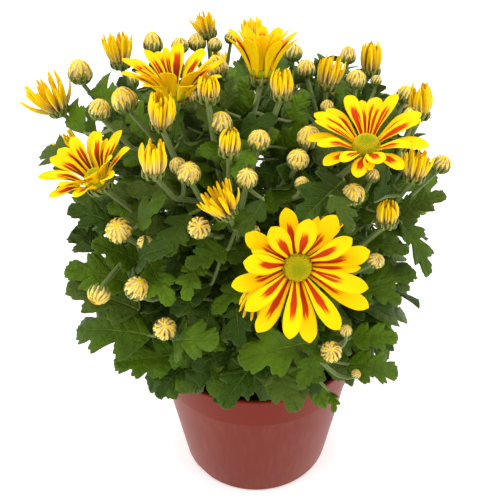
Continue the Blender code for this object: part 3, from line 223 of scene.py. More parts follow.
# Closed buds: middle of the bud, lean, tilt, breadth, how pointed it is, stand
BUDS = (
    (80, 74, -5, 20, 0.0120, 0.5, 1.00),
    (125, 102, -20, 20, 0.0115, 0.4, 1.03),
    (100, 111, 0, 25, 0.0100, 0.3, 1.04),
    (153, 45, -5, 12, 0.0105, 0.6, 1.00),
    (180, 46, -5, 12, 0.0095, 0.0, 1.00),
    (197, 43, 0, 20, 0.0100, 0.3, 1.01),
    (215, 45, 0, 12, 0.0080, 0.0, 1.00),
    (231, 38, 0, 12, 0.0075, 0.0, 1.00),
    (218, 70, -15, 15, 0.0100, 0.7, 0.99),
    (221, 124, 0, 25, 0.0095, 0.3, 0.99),
    (189, 174, 0, 45, 0.0095, 0.2, 1.03),
    (119, 231, -20, 65, 0.0110, 0.2, 1.04),
    (199, 228, 0, 75, 0.0090, 0.0, 1.03),
    (247, 179, 0, 45, 0.0085, 0.2, 1.04),
    (259, 141, 5, 35, 0.0090, 0.2, 1.01),
    (293, 53, 5, 12, 0.0100, 0.0, 0.98),
    (306, 70, 0, 18, 0.0090, 0.3, 0.97),
    (348, 57, 0, 12, 0.0085, 0.6, 1.00),
    (356, 80, 5, 25, 0.0090, 0.2, 1.02),
    (309, 138, 0, 40, 0.0100, 0.2, 0.97),
    (298, 160, 5, 45, 0.0090, 0.1, 0.99),
    (353, 195, 0, 45, 0.0095, 0.1, 1.02),
    (405, 96, 15, 15, 0.0095, 0.4, 0.96),
    (411, 120, -5, 20, 0.0090, 0.6, 0.98),
    (441, 165, 20, 25, 0.0095, 0.2, 1.00),
    (376, 261, 20, 45, 0.0070, 0.0, 1.02),
    (331, 352, 0, 78, 0.0095, 0.0, 1.04),
    (99, 294, 190, 30, 0.0100, 0.0, 1.09),
    (137, 289, 20, 50, 0.0105, 0.2, 1.06),
    (165, 329, 0, 75, 0.0100, 0.0, 1.06),
)

# Open blooms: the core that the petals leave, and the petals in their two layers
PETALS = 16
CORE_RADIUS = 0.0058
CORE_FOOT = 0.0050
CORE_HEIGHT = 0.0032
PETAL_LAYER_RISE = 12.0
PETAL_LAYER_STEP = 0.0010
PETAL_BELLY = 0.0010
PETAL_STEEPEST = math.radians(72.0)
PETAL_CURL = 0.16
DISC_RADIUS = 0.0052
CUP_RISE, CUP_DISC_RADIUS = 43.0, 0.0040
DISC_HEIGHT = 0.0030

# Closed buds: where a bud's middle is as a share of its breadth, and its shape. Then the green cup under a
# head: its depth, foot radius and brim radius
BUD_MIDDLE = 0.45
BUD_FLAT = 0.90
BUD_POINT = 0.40
CALYX = {"bloom": (0.0040, 0.0016, 0.0056), "brush": (0.0050, 0.0018, 0.0056)}

# The far side, which the picture doesn't show: blooms by angle round the pot, height, petal length and
# rise, opening heads by angle and height, and buds by rule
FAR_BLOOMS = ((66.0, 0.202, 0.0270, 20), (120.0, 0.186, 0.0260, 32))
FAR_BRUSHES = ((28.0, 0.222), (92.0, 0.256), (104.0, 0.232))
FAR_BRUSH_LENGTH, FAR_BRUSH_STOUT = 0.0160, 0.80
FAR_BUD_COUNT = 8
FAR_BUD_SIZES = (0.0095, 0.0065, 0.0085)
FAR_LOW, FAR_HIGH = 0.165, 0.262
FAR_FIRST, FAR_LAST = 5.0, 175.0
FAR_LEAN, FAR_RISE, FAR_RISE_MORE = 0.60, 0.55, 6.0
FAR_SHIFTS = (0.0, 0.014, -0.014, 0.028, -0.028)

# Large leaves as pictured: columns and rows of the base and of the tip, stand of the base and of the tip
PICTURED_LEAVES = (
    (122, 226, 68, 209, 0.86, 1.04), (138, 262, 92, 243, 0.90, 1.06), (132, 284, 65, 270, 0.88, 1.10),
    (140, 311, 67, 286, 0.92, 1.14), (152, 336, 76, 330, 0.90, 1.10), (180, 355, 114, 364, 0.84, 1.04),
    (182, 366, 158, 398, 0.86, 1.02), (166, 341, 212, 340, 0.92, 1.06), (262, 354, 222, 407, 0.90, 1.12),
    (270, 358, 298, 411, 0.92, 1.12), (319, 346, 300, 386, 0.98, 1.14), (308, 343, 240, 361, 0.92, 1.10),
    (346, 364, 398, 373, 0.88, 1.04), (350, 338, 398, 338, 0.90, 1.04), (358, 286, 401, 303, 0.92, 1.08),
    (400, 222, 428, 276, 0.88, 1.04), (366, 246, 409, 252, 0.94, 1.10), (399, 214, 445, 194, 0.88, 1.06),
    (84, 166, 42, 152, 0.88, 1.06), (90, 205, 58, 186, 0.86, 1.02), (110, 112, 104, 76, 0.86, 0.96),
    (290, 122, 306, 90, 0.88, 0.98), (344, 180, 300, 222, 0.92, 1.06), (200, 262, 186, 300, 0.92, 1.06),
    (212, 300, 206, 346, 0.94, 1.08), (330, 392, 334, 412, 0.94, 1.04), (190, 214, 166, 256, 0.90, 1.04),
    (228, 250, 186, 266, 0.88, 1.02), (236, 300, 240, 346, 0.90, 1.04), (330, 196, 352, 232, 0.96, 1.06),
    (150, 262, 172, 304, 0.92, 1.06), (330, 130, 322, 164, 0.80, 0.92),
)

# Smaller leaves as pictured, in the same way
PICTURED_SMALL_LEAVES = (
    (136, 106, 119, 77, 0.86, 0.97), (86, 134, 75, 101, 0.86, 0.97), (98, 142, 93, 102, 0.82, 0.92),
    (120, 144, 112, 108, 0.82, 0.92), (150, 142, 140, 100, 0.80, 0.92), (226, 112, 233, 76, 0.84, 0.96),
    (252, 110, 240, 79, 0.84, 0.96), (238, 136, 278, 118, 0.86, 0.98), (318, 120, 288, 116, 0.84, 0.94),
    (222, 136, 197, 108, 0.84, 0.95), (350, 106, 338, 82, 0.84, 0.96), (366, 102, 386, 86, 0.86, 0.97),
    (392, 184, 404, 158, 0.88, 0.98), (374, 202, 386, 170, 0.88, 0.98), (176, 142, 184, 110, 0.80, 0.92),
    (100, 250, 72, 232, 0.86, 1.00), (140, 264, 172, 248, 0.90, 1.02), (144, 277, 182, 272, 0.88, 1.00),
    (138, 226, 166, 196, 0.98, 1.06), (264, 200, 242, 236, 1.00, 1.06), (250, 150, 236, 180, 0.94, 1.02),
    (212, 284, 170, 312, 0.86, 0.98), (246, 282, 212, 314, 0.84, 0.98), (248, 312, 222, 340, 0.86, 1.00),
)

# Leaves by rule: they spread evenly over the crown, and are larger and hang more low down. First and last
# turn round the pot, and number; the side that is pictured has its own leaves as well
CROWN_SPANS = ((-145.0, -35.0, 5), (-35.0, 215.0, 17))
CROWN_DEEPEST, CROWN_OUTMOST = 0.70, 0.99
LEAF_LOW, LEAF_HIGH = 0.112, 0.232
LEAF_LENGTH_LOW, LEAF_LENGTH_HIGH = 0.052, 0.034
LEAF_RISE_LOW, LEAF_RISE_HIGH = -35.0, 40.0

# How far their place, way and rise are moved at random, how often each is tried, and how much deeper
LEAF_TURN, LEAF_ASIDE, LEAF_TILT = 9.0, 35.0, 12.0
LEAF_TRIALS, LEAF_INWARD = 5, 0.06

# The lowest leaves, which lie over the rim: height of every second one, and where base and tip are
SKIRT_PER_CUTTING = 3
SKIRT_TRIALS, SKIRT_HIGHER, SKIRT_EVERY_SECOND = 6, 0.004, 0.010
SKIRT_LOW, SKIRT_BASE, SKIRT_TIP = 0.106, 0.050, (0.088, 0.102)
SKIRT_BASE_RISE, SKIRT_TIP_FALL = 0.012, 0.010
SKIRT_FRONT_SHORTER = 0.022
LOWEST_ROW = 412.0

# Leaves as solids, and how far one of the picture may be moved aside and out until it is clear
LEAF_THICKNESS = 0.0008
LEAF_STALK_RADIUS = 0.0010
LEAF_STALK_LONGEST = 0.030
LEAF_CLEARANCE = 0.0024
LEAF_ASIDES, LEAF_OUTS = (0.0, 7.0, -7.0), (0.0, 0.04, -0.04, 0.08, -0.08, 0.12, -0.12)
LEAF_NUDGES = [(aside, out) for aside in LEAF_ASIDES for out in LEAF_OUTS]

# Stalks of heads: their runs, radii and the part of a stem that they leave
STALK_RUN_IN = 0.012
STALK_TURN_IN = 0.013
STALK_SINK = 0.0018
STALK_TWO_RUNS = 0.058
STALK_STEPS = 8
TRUNK_SPAN, BRANCH_SPAN = (0.72, 1.0), (0.12, 0.62)
TINY_BUD = 0.008
STALK_SLIM, STALK_SLIMMEST = 0.0012, 0.0009
STALK_THINNER, STALK_THICKER_BY_LENGTH = 0.86, 0.012
LOWEST_FORK = 0.012
STEM_CLEARANCE = 0.0004

# What speaks against a stalk, in metres of length: a bend, a short, flat or falling run, a fork near another
STALK_BEND_COST = 0.035
STALK_SHORT, STALK_SHORT_COST = 0.018, 0.06
STALK_STEEP, STALK_FLAT_COST = 0.85, 0.06
STALK_CLIMB, STALK_FALL_COST = 0.006, 1.5
FORK_APART, FORK_CROWD_COST = 0.007, 6.0
STALK_CHOICES = 40

GOLDEN_SHARE, GOLDEN_RATIO, GOLDEN_ANGLE = 0.382, 0.618, math.radians(137.508)
SEED = 41

# Half outline of a leaf, from its base to its tip: each point's place along the leaf and its distance from
# the midrib, as shares of the leaf's length
LARGE_LEAF = (
    (0.02, 0.035),
    (0.27, 0.320),
    (0.39, 0.115),
    (0.63, 0.310),
    (0.73, 0.140),
)
SMALL_LEAF = (
    (0.03, 0.035),
    (0.42, 0.280),
    (0.58, 0.130),
)

# Finer than the model: the steps of turned shapes, rings of peat, crumbs on it, and stems
POT_FINE_STEPS = 96
POT_ROUNDING = 0.0007
CUTTER = 0.010
PEAT_RINGS = 30
CRUMB_DENSITY = 110000.0
CRUMB = 0.0011
CRUMB_SIZES = ((0.4, 0.4, 0.3), (1.3, 1.0, 0.7))
CRUMB_TURNS = ((0.0, 0.0, 0.0), (0.6, 0.6, 6.28))
CRUMBS_FROM, CRUMBS_FULL = 0.004, 0.003
STEM_SIDES = 8
STEM_BEND = 0.006
STEM_BEND_STEPS = 3

# Small leaves that fill the crown
FILL_COUNT = 900
FILL_TRIALS = 5
FILL_SEED = 17
FILL_LOW, FILL_HIGH = 0.100, 0.258
FILL_DEEPEST, FILL_OUTMOST = 0.30, 0.97
FILL_LENGTHS = (0.020, 0.034)
FILL_RISE_LOW, FILL_RISE_MORE = -30.0, 75.0
FILL_TURN, FILL_ASIDE, FILL_TILT, FILL_UP = 14.0, 60.0, 18.0, 0.006
FILL_STALK_LONGEST = 0.042
FILL_LOWEST_ROW = 402.0
LEAF_STALK, FILL_STALK = 0.0008, 0.0006
FINISH_SEED = 3

# Petals, florets and scales: each row's number, place and width
PETAL_FULL_WIDTH = 0.0225
PETAL_SINK = (0.0012, 0.0008)
MORE_PETALS = 5
BLOOM_FLAMES = {
    "bloom_front": 0.30,
    "bloom_right": 0.76,
    "bloom_left": 0.86,
    "bloom_rear_left": 0.95,
    "bloom_rear_middle": 1.0,
}
FAR_FLAMES = 0.5
DISC_FLORETS = 300
DISC_FLORET = 0.00030
FLORET_SINK = 0.001
BUD_CORE = 0.86
BUD_CORE_STEPS = 12
CUP_SCALE_ROWS = ((9, 0.0, 0.10, 1.18, 1.07), (10, 0.5, 0.30, 1.42, 1.04))
OPENING_ROWS = ((12, 0.0046, 1.0, 1.0, 0.85), (10, 0.0036, 1.03, 0.8, 0.85), (7, 0.0018, 0.90, 0.45, 0.85))
BUD_FLORET_ROWS = ((13, 68.0, 128.0, 0.99, 2.2), (12, 94.0, 152.0, 1.0, 2.1), (9, 120.0, 186.0, 0.98, 2.1))
BUD_SCALE_ROWS = ((9, 22.0, 84.0, 1.02, 1.25), (11, 48.0, 112.0, 1.03, 1.0))
SLIM_SPLAY = 12.0

# Little buds that the picture shows between the others: middle, lean, tilt, breadth, stand
LITTLE_BUDS = (
    (192, 97, -20, 25, 0.0060, 0.98),
    (178, 166, -20, 30, 0.0070, 0.98),
    (145, 243, 10, 60, 0.0065, 1.00),
    (376, 81, 10, 15, 0.0055, 0.98),
    (327, 107, 0, 25, 0.0060, 0.96),
    (302, 184, 20, 40, 0.0060, 1.00),
    (372, 176, 20, 20, 0.0060, 0.98),
    (252, 232, -20, 40, 0.0065, 0.96),
    (346, 331, 0, 50, 0.0055, 1.02),
    (356, 374, 20, 55, 0.0045, 1.02),
)
LITTLE_STALK = (0.0011, 0.0008)
LITTLE_STALK_JOINTS = (0.010, 0.004, -STALK_SINK)

# The blades of a cutting: the ending of the piece's name, their finish and their slot
CUTTING_BLADES = (
    ("large_leaves", "leaf", "leaf"),
    ("small_leaves", "leaf", "leaf"),
    ("tiny_leaves", "leaf", "leaf"),
    ("scales", "bract", "leaf"),
    ("bud_florets", "floret", "floret"),
)

# Studio: lights by place, width, height and power, and the height on the plant that they point at
PICTURE = 500.0
SENSOR = 36.0
WORLD_STRENGTH = 0.80
FLOOR_GLOW = 0.30
FLOOR_SIZE = 6.0
LIGHT_AIM = 0.12
SOFTBOXES = (
    ("softbox_left", (-0.9, -0.5, 0.7), 0.6, 1.2, 5.0),
    ("softbox_right", (0.9, -0.4, 0.6), 0.6, 1.2, 4.0),
    ("softbox_above", (0.0, 0.2, 2.2), 3.0, 3.0, 40.0),
)


class Head:
    """A flower head: where its stalk ends, the way it faces, and its size."""

    def __init__(self, name, kind, base, axis, size, shape=0.0, petals=None, stout=1.0):
        self.name, self.kind, self.base, self.axis = name, kind, base, axis
        self.size, self.shape, self.petals, self.stout = size, shape, petals, stout
        self.cutting = cutting_of(base)


class Stem:
    """A stem or stalk: straight runs from joint to joint, and its radius at the start and the end."""

    def __init__(self, cutting, joints, radius, end_radius, head=None):
        self.cutting, self.joints, self.head = cutting, joints, head
        self.radius, self.end_radius = radius, end_radius

    def run_at(self, share):
        """The number of the run that a share of the way is in, and the share of that run."""
        runs = len(self.joints) - 1
        run = min(int(share * runs), runs - 1)
        return run, share * runs - run

    def at(self, share):
        run, rest = self.run_at(share)
        return self.joints[run].lerp(self.joints[run + 1], rest)

    def along(self, share):
        run = self.run_at(share)[0]
        return (self.joints[run + 1] - self.joints[run]).normalized()

    def radius_at(self, share):
        return self.radius + (self.end_radius - self.radius) * share


class Leaf(NamedTuple):
    """A leaf: the foot of its stalk, its base, tip and upward direction, and its sizes."""

    cutting: int
    foot: Vector
    base: Vector
    tip: Vector
    up: Vector
    lobes: tuple
    width: float
    arch: float
    fold: float


def on_curve(controls, share):
    """A point on the curve of four controls."""
    a, b, c, d = controls
    rest = 1.0 - share
    return a * rest**3 + b * (3 * rest * rest * share) + c * (3 * rest * share * share) + d * share**3


def sight_line(column, row):
    """The direction of the eye's line through that column and row of the picture."""
    across = (column - EYE_COLUMN) / EYE_FOCAL
    above = (EYE_ROW - row) / EYE_FOCAL
    return (EYE_AHEAD + EYE_RIGHT * across + EYE_UP * above).normalized()


def row_of(point):
    """The row at which the eye sees a point."""
    way = point - EYE
    return EYE_ROW - EYE_FOCAL * way.dot(EYE_UP) / way.dot(EYE_AHEAD)


def crown_depth(point, stand):
    """Below 1 inside the crown when it is scaled by stand, above 1 outside it."""
    out = math.hypot(point.x, point.y) / (CROWN_RADIUS * stand)
    high = abs(point.z - CROWN_MIDDLE) / (CROWN_HALF_HEIGHT * stand)
    return out**CROWN_POWER + high**CROWN_POWER


def seen_on_crown(column, row, stand):
    """Where the eye's line through that column and row meets the crown, or passes nearest to it."""
    line = sight_line(column, row)
    nearest, least = NEAREST_SIGHT, 1e9
    distance = NEAREST_SIGHT
    while distance < FARTHEST_SIGHT:
        depth = crown_depth(EYE + line * distance, stand)
        if depth < 1.0:
            return EYE + line * distance
        if depth < least:
            nearest, least = distance, depth
        distance += SIGHT_STEP
    return EYE + line * nearest


def facing(point, lean, tilt):
    """The direction that leans so in the picture and tilts so far towards the eye."""
    toward = (EYE - point).normalized()
    lean_way = leaning(point, lean)
    tilt = math.radians(tilt)
    return (lean_way * math.cos(tilt) + toward * math.sin(tilt)).normalized()


def leaning(point, lean):
    """The direction square to the eye's line that leans so far clockwise from up in the picture."""
    toward = (EYE - point).normalized()
    upright = (EYE_UP - toward * EYE_UP.dot(toward)).normalized()
    lean = math.radians(lean)
    return upright * math.cos(lean) + upright.cross(toward) * math.sin(lean)


def polar(radius, degrees, height):
    """The point at that distance from the upright axis, turn round it and height."""
    turn = math.radians(degrees)
    return Vector((radius * math.cos(turn), radius * math.sin(turn), height))


def cutting_of(point):
    """The number of the cutting whose sector of the pot the point is in."""
    share = 360.0 / CUTTINGS
    turn = math.degrees(math.atan2(point.y, point.x)) - FIRST_CUTTING_ANGLE + share / 2
    return int(turn % 360.0 // share)


def crown_radius_at(height):
    """The crown's radius at a height over the floor."""
    high = min(0.995, abs(height - CROWN_MIDDLE) / CROWN_HALF_HEIGHT)
    return CROWN_RADIUS * (1.0 - high**CROWN_POWER) ** (1.0 / CROWN_POWER)


def far_place(degrees, height):
    """A place on the far side of the crown, and the way that a head there faces."""
    base = polar(crown_radius_at(height), degrees, height)
    outward = polar(1.0, degrees, 0.0)
    axis = outward * FAR_LEAN + UP * (FAR_RISE + FAR_RISE_MORE * (height - FAR_LOW))
    return base, axis.normalized()


def near(head, other):
    """Whether the spaces that two heads take up meet."""
    return bool(tree_of(*head_envelope(head)).overlap(tree_of(*head_envelope(other))))


def plan_heads():
    """All heads: first those of the picture, by their places in it, and after each kind its far ones."""
    heads = []
    for name, column, row, lean, tilt, length, rise, width, uneven, stand in BLOOMS:
        base = seen_on_crown(column, row, stand)
        petals = (width, leaning(base, lean) * uneven)
        heads.append(Head("bloom_" + name, "bloom", base, facing(base, lean, tilt), length, rise, petals))
    for i, (degrees, height, length, rise) in enumerate(FAR_BLOOMS):
        base, axis = far_place(degrees, height)
        petals = (FAR_PETAL_WIDTH, Vector((0.0, 0.0, FAR_PETAL_UNEVEN)))
        heads.append(Head(f"bloom_far_{i + 1}", "bloom", base * 1.02, axis, length, rise, petals))
    for i, (column, row, lean, tilt, length, splay, stand, stout) in enumerate(BRUSHES):
        middle = seen_on_crown(column, row, stand)
        axis = facing(middle, lean, tilt)
        base = middle - axis * length * 0.5
        heads.append(Head(f"opening_{i + 1:02d}", "brush", base, axis, length, splay, stout=stout))
    for i, (degrees, height) in enumerate(FAR_BRUSHES):
        base, axis = far_place(degrees, height)
        name, splay = f"opening_far_{i + 1}", 6 + 4 * i
        heads.append(Head(name, "brush", base, axis, FAR_BRUSH_LENGTH, splay, stout=FAR_BRUSH_STOUT))
    for i, (column, row, lean, tilt, breadth, point, stand) in enumerate(BUDS):
        middle = seen_on_crown(column, row, stand)
        axis = facing(middle, lean, tilt)
        base = middle - axis * breadth * BUD_MIDDLE
        heads.append(Head(f"bud_{i + 1:02d}", "bud", base, axis, breadth, point))
    for i in range(FAR_BUD_COUNT):
        share = (i + 0.5) / FAR_BUD_COUNT
        height = FAR_LOW + (FAR_HIGH - FAR_LOW) * (i * GOLDEN_RATIO % 1.0)
        turn = FAR_FIRST + (FAR_LAST - FAR_FIRST) * share
        size = FAR_BUD_SIZES[i % len(FAR_BUD_SIZES)]
        for shift in FAR_SHIFTS:
            base, axis = far_place(turn, height + shift)
            bud = Head(f"bud_far_{i + 1:02d}", "bud", base, axis, size, 0.2 * (i % 3))
            if not any(near(bud, head) for head in heads):
                heads.append(bud)
                break
    return heads


def plan_stems(heads, obstacles):
    """The cuttings' own stems, then a stalk for each head, which leaves the stem that it fits best."""
    branches = {}
    for cutting in range(CUTTINGS):
        degrees = FIRST_CUTTING_ANGLE + 360.0 / CUTTINGS * cutting
        joints = [
            polar(CUTTING_RING, degrees, SOIL_LEVEL - CUTTING_DEPTH),
            polar(CUTTING_RING, degrees, SOIL_LEVEL + 0.004),
            polar((CUTTING_RING + FORK_RING) / 2 - 0.002, degrees, (SOIL_LEVEL + FORK_HEIGHT) / 2 + 0.003),
            polar(FORK_RING, degrees, FORK_HEIGHT),
        ]
        trunk = Stem(cutting, joints, CUTTING_RADIUS, CUTTING_RADIUS * 0.8)
        branches[cutting] = [trunk]
        obstacles.add_stem(trunk)
    for head in sorted(heads, key=lambda head: -head.base.z):
        stalk = stalk_to(head, branches[head.cutting], obstacles)
        branches[head.cutting].append(stalk)
        obstacles.add_stem(stalk)
    return [stem for cutting in range(CUTTINGS) for stem in branches[cutting]]


def stalk_to(head, branches, obstacles):
    """The stalk that reaches a head from the branch that lies best for it and leaves the way clear."""
    run_in = head.base - head.axis * STALK_RUN_IN
    choices = []
    for branch in branches:
        first, last = TRUNK_SPAN if branch.head is None else BRANCH_SPAN
        for step in range(STALK_STEPS + 1):
            share = first + (last - first) * step / STALK_STEPS
            way = run_in - branch.at(share)
            bend = branch.along(share).angle(way, 0.0)
            short = STALK_SHORT_COST if way.length < STALK_SHORT else 0.0
            cost = way.length + STALK_BEND_COST * bend + short
            cost += max(0.0, branch.at(share).z + STALK_CLIMB - run_in.z) * STALK_FALL_COST
            cost += max(0.0, STALK_STEEP - way.normalized().z) * STALK_FLAT_COST
            crowd = min([(branch.at(share) - other.at(0.0)).length for other in branches[1:]], default=1.0)
            cost += max(0.0, FORK_APART - crowd) * FORK_CROWD_COST
            choices.append((cost, len(choices), branch, share))
    choices.sort()
    stalks = []
    for cost, order, branch, share in choices[:STALK_CHOICES]:
        stalks.append(stalk_from(branch, share, head))
        if not obstacles.blocks(head.cutting, *stem_envelope(stalks[-1], STEM_CLEARANCE), head):
            return stalks[-1]
    return stalks[0]


def stalk_from(branch, share, head):
    """A stalk that leaves a branch at that share of its run and comes in along the head's axis."""
    start = branch.at(share)
    reach = (head.base - start).length
    run_in = head.base - head.axis * STALK_RUN_IN
    lead = (branch.along(share) * 0.35 + (run_in - start).normalized()).normalized()
    end = head.base + head.axis * STALK_SINK
    turn_in = min(reach * 0.36, STALK_TURN_IN)
    controls = (start, start + lead * reach * 0.34, head.base - head.axis * turn_in, end)
    slim = STALK_SLIMMEST if head.kind == "bud" and head.size < TINY_BUD else STALK_SLIM
    radius = min(branch.radius_at(share) * STALK_THINNER, STALK_SLIM + STALK_THICKER_BY_LENGTH * reach)
    runs = 2 if reach < STALK_TWO_RUNS else 3
    joints = [on_curve(controls, i / runs) for i in range(runs + 1)]
    return Stem(head.cutting, joints, max(radius, slim), slim, head)


def nearest_on_stems(point, stems, cutting):
    """The place on a cutting's stems, well above the peat, that is nearest to a point, or none."""
    best, least = None, 1e9
    for stem in stems:
        if stem.cutting != cutting:
            continue
        for step in range(17):
            place = stem.at(step / 16)
            if place.z < SOIL_LEVEL + LOWEST_FORK:
                continue
            away = (place - point).length
            if away < least:
                best, least = place, away
    return best


def outward_of(point):
    """The level direction from the upright axis towards a point."""
    level = Vector((point.x, point.y, 0.0))
    return level.normalized() if level.length > 1e-6 else Vector((0.0, -1.0, 0.0))


def upward_for(base, tip):
    """A leaf's upper face looks up and out of the crown."""
    way = (tip - base).normalized()
    middle = (base + tip) / 2
    look = UP * 0.9 + outward_of(middle) * 0.75
    return (look - way * look.dot(way)).normalized()


def leaf_of(cutting, foot, base, tip, lobes, draw):
    """A leaf between these points, whose width, arch and fold are drawn."""
    width = draw.uniform(0.92, 1.12)
    arch = draw.uniform(0.06, 0.16)
    fold = draw.uniform(0.10, 0.30)
    return Leaf(cutting, foot, base, tip, upward_for(base, tip), lobes, width, arch, fold)


def leaf_rows(leaf):
    """The rows of a leaf's sheet, from the foot of its stalk to its tip: a left and a right point each."""
    way = leaf.tip - leaf.base
    length = way.length
    way.normalize()
    side = way.cross(leaf.up)

    def place(along, aside):
        arch = leaf.up * length * leaf.arch * 4.0 * along * (1.0 - along)
        lift = leaf.up * abs(aside) * leaf.fold
        return leaf.base + way * along * length + side * aside + arch + lift

    stalk_way = (leaf.base - leaf.foot).normalized()
    stalk_side = stalk_way.cross(leaf.up).normalized() * LEAF_STALK_RADIUS
    rows = [(leaf.foot - stalk_side, leaf.foot + stalk_side)]
    for along, aside in leaf.lobes:
        half = aside * length * leaf.width
        rows.append((place(along, -half), place(along, half)))
    return rows, place(1.0, 0.0)


def leaf_sheet(leaf, with_stalk=True):
    """Points and triangles of a leaf's sheet."""
    rows, tip = leaf_rows(leaf)
    rows = rows if with_stalk else rows[1:]
    points = [point for row in rows for point in row] + [tip]
    faces = []
    for i in range(len(rows) - 1):
        left, right = 2 * i, 2 * i + 1
        faces += [(left, right, left + 2), (right, right + 2, left + 2)]
    last = 2 * len(rows)
    faces.append((last - 2, last - 1, last))
    return points, faces


def thickened(points, faces, thickness):
    """A closed blade: the sheet's own triangles above and below, alike, and a rim round its edge."""
    normals = [Vector() for _ in points]
    sides = {}
    for a, b, c in faces:
        normal = (points[b] - points[a]).cross(points[c] - points[a])
        for corner in (a, b, c):
            normals[corner] += normal
        for edge in ((a, b), (b, c), (c, a)):
            sides[edge] = True
    half = thickness / 2
    above = [p + n.normalized() * half for p, n in zip(points, normals)]
    below = [p - n.normalized() * half for p, n in zip(points, normals)]
    count = len(points)
    made = faces + [(c + count, b + count, a + count) for a, b, c in faces]
    for a, b in sides:
        if (b, a) not in sides:
            made += [(b, a, a + count), (b, a + count, b + count)]
    return above + below, made


def tree_of(points, faces):
    """The triangles of a closed shape, ready to be tried against others."""
    return BVHTree.FromPolygons(points, faces, all_triangles=True)


def turned_shell(head, profile, sides=10):
    """A closed surface turned round a head's axis, from (radius, height) pairs that start and end on it."""
    turn = axis_frame(head)
    points, faces = [], []
    for i in range(sides):
        angle = 2 * math.pi * i / sides
        for radius, height in profile:
            points.append(turn @ Vector((radius * math.cos(angle), radius * math.sin(angle), height)))
    rows = len(profile)
    for i in range(sides):
        j = (i + 1) % sides
        for k in range(rows - 1):
            a, b, c, d = i * rows + k, j * rows + k, j * rows + k + 1, i * rows + k + 1
            faces += [(a, b, c), (a, c, d)]
    return points, faces


def axis_frame(head):
    """The frame with its +Z along a head's axis and its origin where the stalk ends."""
    turn = head.axis.to_track_quat("Z", "Y").to_matrix().to_4x4()
    return Matrix.Translation(head.base) @ turn


def head_envelope(head):
    """A surface just outside the separate solids of a head."""
    if head.kind == "bloom":
        reach = (head.size - CORE_RADIUS) * (1.0 + 0.7 * head.petals[1].length) + 0.001
        profile = ((0.0, -0.001), (0.0066, 0.001), (0.0068, 0.0040))
        for more, height in ((-13.0, 0.0042), (PETAL_LAYER_RISE + 2.0, 0.0082)):
            rise = math.radians(head.shape + more)
            profile += ((CORE_RADIUS + reach * math.cos(rise), height + reach * math.sin(rise)),)
        profile += ((0.0075, 0.0125), (0.0, 0.0125))
    elif head.kind == "brush":
        widest = 0.0070 * head.stout + head.size * 0.80 * math.sin(math.radians(head.shape))
        profile = ((0.0, -0.001), (0.0062 * head.stout, 0.001), (0.0070 * head.stout, 0.008))
        profile += ((widest, head.size + 0.002), (0.0, head.size + 0.003))
    else:
        half = head.size / 2
        profile = ((0.0, -0.001), (half + 0.001, half * 0.8), (0.0, head.size * 1.2))
    return turned_shell(head, profile)


def pot_envelope():
    """A surface just outside the pot, and over the peat inside it."""
    pot = Head("pot", "pot", Vector(), UP, POT_HEIGHT)
    profile = ((0.0, 0.0), (POT_BASE_RADIUS, 0.0), (POT_TOP_RADIUS + 0.002, POT_HEIGHT + 0.002))
    profile += ((POT_TOP_RADIUS - 0.003, POT_HEIGHT + 0.001), (POT_TOP_RADIUS - 0.004, SOIL_LEVEL + 0.003))
    return turned_shell(pot, profile + ((0.0, SOIL_LEVEL + 0.004),), sides=24)


def stem_envelope(stem, radius_more):
    """A thin six-sided sleeve round a stem."""
    points, faces = [], []
    for i, place in enumerate(stem.joints):
        way = (stem.joints[min(i + 1, len(stem.joints) - 1)] - stem.joints[max(i - 1, 0)]).normalized()
        aside = way.orthogonal().normalized()
        other = way.cross(aside)
        radius = stem.radius_at(i / (len(stem.joints) - 1)) + radius_more
        for k in range(6):
            angle = math.pi * k / 3
            points.append(place + (aside * math.cos(angle) + other * math.sin(angle)) * radius)
    for i in range(len(stem.joints) - 1):
        for k in range(6):
            a, b = i * 6 + k, i * 6 + (k + 1) % 6
            faces += [(a, b, b + 6), (a, b + 6, a + 6)]
    return points, faces


class Obstacles:
    """What a cutting's stems and leaves stay clear of: the pot, the heads, and the other cuttings."""

    def __init__(self, heads):
        self.shared = [(None, tree_of(*pot_envelope()))]
        self.own = {cutting: [] for cutting in range(CUTTINGS)}
        self.stalks = {cutting: [] for cutting in range(CUTTINGS)}
        self.blades = {cutting: [] for cutting in range(CUTTINGS)}
        for head in heads:
            tree = tree_of(*head_envelope(head))
            if head.kind == "bud":
                self.own[head.cutting].append(tree)
            else:
                self.shared.append((head, tree))

    def blocks(self, cutting, points, faces, but_head=None):
        tree = tree_of(points, faces)
        for head, other in self.shared:
            if (head is None or head is not but_head) and tree.overlap(other):
                return True
        for number, others in self.own.items():
            if number != cutting and any(tree.overlap(other) for other in others):
                return True
        return False

    def add(self, cutting, points, faces):
        self.own[cutting].append(tree_of(points, faces))

    def add_stem(self, stem):
        self.add(stem.cutting, *stem_envelope(stem, STEM_CLEARANCE))
        self.stalks[stem.cutting].append(self.own[stem.cutting][-1])

    def admit(self, leaf):
        """Whether a leaf is clear; if it is, it becomes one of the obstacles."""
        if self.blocks(leaf.cutting, *thickened(*leaf_sheet(leaf), LEAF_CLEARANCE)):
            return False
        blade = tree_of(*thickened(*leaf_sheet(leaf, False), LEAF_THICKNESS))
        if any(blade.overlap(other) for other in self.blades[leaf.cutting] + self.stalks[leaf.cutting]):
            return False
        self.blades[leaf.cutting].append(blade)
        self.add(leaf.cutting, *thickened(*leaf_sheet(leaf), LEAF_THICKNESS))
        return True


